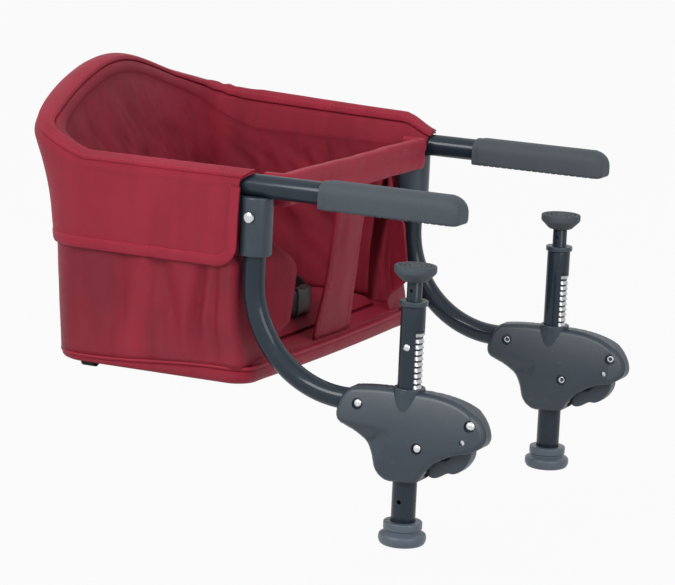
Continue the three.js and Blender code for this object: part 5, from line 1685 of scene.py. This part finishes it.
def cushion_rings():
    middle = Vector(((CUSHION_FRONT + FOOT_BACK) / 2, 0, 0))
    edge = base_plan(CUSHION_CLEAR, CUSHION_FRONT)
    rings = []
    for share, lift in ((0.02, 0), (0.4, 0), (0.8, 0), (0.97, 0), (0.995, 0.3), (1.0, 0.6)):
        rings.append([middle.lerp(p, share) + Vector((0, 0, CUSHION_FLOOR + lift)) for p in edge])
    for share in (1.0, 0.99, 0.97, 0.94, 0.9, 0.84, 0.76, 0.66, 0.54, 0.4, 0.26, 0.12, 0.02):
        ring = []
        for p in edge:
            place = middle.lerp(p, share)
            rise = (cushion_rise(place.x, place.y) - 2) * min(1.0, 0.6 + 4 * (1 - share))
            ring.append(place + Vector((0, 0, CUSHION_FLOOR + rise)))
        rings.append(ring)
    return rings


def puffed(obj, voxel, most, floor, uv):
    """The piece as cloth blown up from inside, with no point moved further than most or sunk below its floor."""
    even = obj.modifiers.new("even", "REMESH")
    even.mode = "VOXEL"
    even.voxel_size = voxel / 1000
    mesh = frozen(obj)
    start = [v.co.copy() for v in mesh.vertices]
    skin = obj.modifiers.new("skin", "CLOTH")
    skin.settings.use_pressure = True
    skin.settings.uniform_pressure_force = PUFF_PRESSURE
    skin.settings.effector_weights.gravity = 0
    for step in range(1, PUFF_FRAMES + 1):
        bpy.context.scene.frame_set(step)
    swollen = evaluated(obj)
    moved = [v.co.copy() for v in swollen.vertices]
    obj.modifiers.clear()
    bpy.context.scene.frame_set(1)
    for vertex, old, new in zip(mesh.vertices, start, moved):
        step = new - old
        if step.length > most / 1000:
            step = step.normalized() * (most / 1000)
        vertex.co = old + step
    for vertex in mesh.vertices:
        vertex.co.z = max(vertex.co.z, floor / 1000)
    layer = mesh.uv_layers.new(name="cut")
    for loop in mesh.loops:
        layer.data[loop.index].uv = uv(mesh.vertices[loop.vertex_index].co)
    mesh.shade_smooth()
    soft = obj.modifiers.new("soft", "SUBSURF")
    soft.levels = 1
    soft.render_levels = 1


points, faces = loft(cushion_rings())
cushion = shape("cushion", points, faces, LINING_CLOTH, sharp=60)
puffed(cushion, VOXEL, PUFF_MOST, CUSHION_FLOOR, lambda p: (p.x, p.y))
carried(cushion, "frame", "lining", "seat_cushion")


# Front band: a padded bar of cloth across the child's front, from socket to socket, with a seam along its face.
# It is stuffed with foam, so that it swells above and below the seam, which draws it in.

BAND_FRONT = -12
BAND_DEPTH = 11
BAND_TOP = 22.5
BAND_HEIGHT = 30
BAND_SQUARE = 0.5
BAND_SIDES = 36
BAND_SEAM_Z = 6.5
BAND_SEAM_DRAWN = 0.42
BAND_SEAM_HALF = 1.6


def band_line():
    reach = ARM_PLANE - BOSS_RADIUS - 0.3 - BAND_DEPTH / 2
    middle = BAND_FRONT - BAND_DEPTH / 2
    half = [(-36, -reach, 0), (-28, -reach, 0), (-21, -reach + 0.5, 0), (middle, -147, 0), (middle, -126, 0)]
    return bent([*half, *mirrored(reversed(half))], 110)


def band_rings():
    line = band_line()
    rings = []
    for i, place in enumerate(line):
        ahead = line[min(i + 1, len(line) - 1)] - line[max(i - 1, 0)]
        out = ahead.cross(Vector((0, 0, 1))).normalized()
        ring = []
        for k in range(BAND_SIDES):
            angle = 2 * math.pi * k / BAND_SIDES
            z = BAND_TOP - BAND_HEIGHT / 2 + squared(math.cos(angle), BAND_SQUARE) * BAND_HEIGHT / 2
            depth = squared(math.sin(angle), BAND_SQUARE) * BAND_DEPTH / 2
            depth *= 1 - BAND_SEAM_DRAWN * math.exp(-((z - BAND_SEAM_Z) / BAND_SEAM_HALF) ** 2)
            depth += ripple(Vector((place.x, place.y, z)), 24, 14, 0.9)
            ring.append(place + out * depth + Vector((0, 0, z + ripple(place, 50, 50, 1.0))))
        rings.append(ring)
    return rings


# Painted light: the band is the crimson cloth painted lighter, standing in for light thrown up onto its front from
# below.
LIT_BAND_CLOTH = cloth("lit_band_cloth", (0.32, 0.012, 0.034, 1), (0.385, 0.015, 0.042, 1), 0.5)
points, faces = loft(band_rings())
band = shape("band", points, faces, LIT_BAND_CLOTH, sharp=60, uv=[(p[1] + p[0], p[2]) for p in points])
carried(band, "frame", "fabric", "front_band")


# Crotch strap: a broad cloth strap from the band down to the front of the base, which keeps the legs apart.
# It is cut from the lining's cloth, doubled, with its edges turned in and sewn.

CROTCH_HEAD = BAND_TOP - BAND_HEIGHT + 1
CROTCH_X = -18
CROTCH_BACK = 17
CROTCH_BOW = 2.2
CROTCH_CURL = 1.5
CROTCH_WIDTH = 64
CROTCH_SPREAD = 10
CROTCH_WAIST = 6
CROTCH_STEPS = 24


def crotch_columns():
    columns = []
    for i in range(CROTCH_STEPS + 1):
        aside = i / CROTCH_STEPS - 0.5
        column = []
        for j in range(31):
            fall = j / 30
            width = CROTCH_WIDTH + CROTCH_SPREAD * fall - CROTCH_WAIST * math.sin(math.pi * fall)
            z = CROTCH_HEAD + (FOOT_Z - CROTCH_HEAD) * fall
            x = CROTCH_X - CROTCH_BACK * fall + CROTCH_BOW * math.sin(math.pi * fall)
            x += CROTCH_CURL * math.cos(aside * math.pi * 2) * math.sin(math.pi * fall)
            x += ripple(Vector((aside * 60, 0, z)), 20, 50, 1.4)
            column.append(Vector((x, aside * width, z)))
        columns.append(column)
    return columns


crotch = sheet_of("crotch_strap", crotch_columns(), LINING_CLOTH, 3.0)
carried(crotch, "frame", "fabric", "crotch_panel")


# Waist belt: two black webbing straps from the side walls to a side-release buckle of black plastic in the middle.
# They stand on edge on the cushion. Two short ends of the same webbing come out below the base's rear corners.

STRAP_ROUTE = [(-196, 164, 0), (-152, 124, 0), (-110, 68, 0), (-72, 24, 0)]
STRAP_WIDTH = 25
WEB_LAY = 0.0016
WEB_RISE = 0.0032
TAB_X = -205
TAB_Y = 171
TAB_HALF = 6
TAB_FALL = 4.4
TAB_STEP = 3.2


def black_webbing():
    material, net, place = begin("black_webbing")
    lay, rise = cut_map(net)
    ribs = (lay * (2 * math.pi / WEB_LAY)).sine() * 0.6 + (rise * (2 * math.pi / WEB_RISE)).sine() * 0.4
    fuzz = net.cloud(place, 900.0, 3.0)
    close(net, {
        "Base Color": net.between(ribs * 0.5 + 0.5, (0.003, 0.003, 0.005, 1), (0.009, 0.009, 0.012, 1)),
        "Roughness": 0.7 + fuzz * 0.15,
        "Specular IOR Level": 0.2,
        "Normal": net.raised(ribs + fuzz * 0.4, 0.0004, 0.7),
    })
    return material


WEBBING = black_webbing()
for side, plane, mirror in SIDES:
    columns = []
    for p in bent(STRAP_ROUTE, 40):
        foot = FOOT_Z + 0.9 + cushion_rise(p.x, p.y)
        column = []
        for j in range(9):
            z = foot + STRAP_WIDTH * (1 - j / 8)
            sway = ripple(Vector((p.x, p.y, z)), 40, 60, 1.2)
            column.append(Vector((p.x + sway, -mirror * p.y, z)))
        columns.append(column)
    strap = sheet_of(f"belt_strap_{side}", columns, WEBBING, 1.4)
    carried(strap, "frame", "webbing", f"waist_strap_{side}")

    tab = []
    for k in range(13):
        turn = math.pi * k / 12
        y = -mirror * (TAB_Y + TAB_HALF * math.cos(turn))
        z = BASE_BOTTOM + 1 - TAB_FALL * math.sin(turn)
        tab.append([Vector((TAB_X + TAB_STEP * j, y, z)) for j in range(5)])
    loop_tab = sheet_of(f"base_tab_{side}", tab, WEBBING, 1.2)
    carried(loop_tab, "frame", "webbing")

BUCKLE_X = -72
BUCKLE_DEPTH = 11
BUCKLE_HEIGHT = 29
BUCKLE_SQUARE = 0.4
BUCKLE_SIDES = 40
BUCKLE_STATIONS = [
    (-23, 0.74, 0.5), (-22.4, 0.8, 0.62), (-12, 0.86, 0.8), (-11, 0.8, 0.66), (-9.6, 0.8, 0.66),
    (-9, 0.98, 0.98), (-6, 1.0, 1.0), (0, 0.9, 1.0), (8, 0.9, 1.0), (14, 1.0, 0.94),
    (20, 0.92, 0.7), (22.4, 0.8, 0.55), (23, 0.74, 0.48),
]
buckle_foot = FOOT_Z + 0.6 + cushion_rise(BUCKLE_X - BUCKLE_DEPTH / 2, 0)


def buckle_rings():
    """Sections across the buckle: a waisted body with a step where the prongs go in."""
    rings = []
    for y, tall, deep in BUCKLE_STATIONS:
        ring = []
        for k in range(BUCKLE_SIDES):
            angle = 2 * math.pi * k / BUCKLE_SIDES
            x = BUCKLE_X + squared(math.cos(angle), BUCKLE_SQUARE) * BUCKLE_DEPTH / 2 * deep
            rise = squared(math.sin(angle), BUCKLE_SQUARE) * BUCKLE_HEIGHT / 2 * tall
            ring.append((x, y, buckle_foot + BUCKLE_HEIGHT / 2 + rise))
        rings.append(ring)
    return rings


BLACK_PLASTIC = moulded_plastic("black_plastic", (0.008, 0.008, 0.01, 1), (0.014, 0.014, 0.017, 1))
points, faces = loft(buckle_rings())
buckle = shape("buckle", points, faces, BLACK_PLASTIC, sharp=40)
carried(buckle, "frame", "webbing", "belt_buckle")


# Stitching: single rows of red thread along both edges of the rim tape, round the hem tape, along the band's seam
# and down the edges of the crotch strap. Every stitch is a short bead of thread lying along its seam.

STITCH_PITCH = 4.8
STITCH_LENGTH = 3.6
STITCH_THICK = 0.8
STITCH_PROUD = 0.2
RIM_STITCH_RISE = 3.15
CROTCH_STITCH_AHEAD = 1.7
CROTCH_STITCH_INSET = 2


def thread_tree():
    tree, net, given = tree_for("stitches_along_path", {
        "Pitch": "Float", "Length": "Float", "Thickness": "Float", "Material": "Material",
    })
    curve = net.add("GeometryNodeMeshToCurve", None, {0: given["Path"]})
    node = net.add("GeometryNodeCurveToPoints", {"mode": "LENGTH"}, {"Curve": curve, "Length": given["Pitch"]})
    tangent = Wire(net, node.socket.node.outputs["Tangent"])
    turn = net.add("FunctionNodeAlignRotationToVector", {"axis": "X"}, {"Vector": tangent})
    bead = net.add("GeometryNodeMeshUVSphere", None, {"Segments": 6, "Rings": 4, "Radius": 0.5})
    size = net.add("ShaderNodeCombineXYZ", None, {0: given["Length"], 1: given["Thickness"], 2: given["Thickness"]})
    many = net.add("GeometryNodeInstanceOnPoints", None, {
        "Points": node, "Instance": bead, "Rotation": turn, "Scale": size,
    })
    leave(net, net.add("GeometryNodeSetShadeSmooth", None, {"Geometry": many}), given["Material"])
    return tree


def red_thread():
    material, net, place = begin("red_thread")
    twist = net.cloud(place, 1500.0)
    close(net, {
        "Base Color": net.between(twist, (0.3, 0.012, 0.03, 1), (0.5, 0.03, 0.06, 1)),
        "Roughness": 0.45 + twist * 0.1,
    })
    return material


def proud_of(near, far):
    """A place just outside the first of two points on opposite faces of a piece."""
    return near + (near - far).normalized() * STITCH_PROUD


cuts = rim_cuts(FLAP_FRONT)
crotch_grid = crotch_columns()
front_middle, back_middle = BAND_SIDES // 4, 3 * BAND_SIDES // 4
seam_lines = [
    [rucked(cut, RIM_TAPE_EDGE + 11, RIM_STITCH_RISE) for cut in cuts],
    [rucked(cut, seam_of(cut) - 9, RIM_STITCH_RISE) for cut in cuts],
    [proud_of(column[1], column[6]) for column in tape_columns()],
    [proud_of(ring[front_middle], ring[back_middle]) for ring in band_rings()],
]
for k in (CROTCH_STITCH_INSET, CROTCH_STEPS - CROTCH_STITCH_INSET):
    seam_lines.append([p + Vector((CROTCH_STITCH_AHEAD, 0, 0)) for p in crotch_grid[k]])
stitches = grown("stitches", thread_tree(), seam_lines, {
    "Pitch": STITCH_PITCH / 1000, "Length": STITCH_LENGTH / 1000, "Thickness": STITCH_THICK / 1000,
    "Material": red_thread(),
})
carried(stitches, "frame", "fabric")
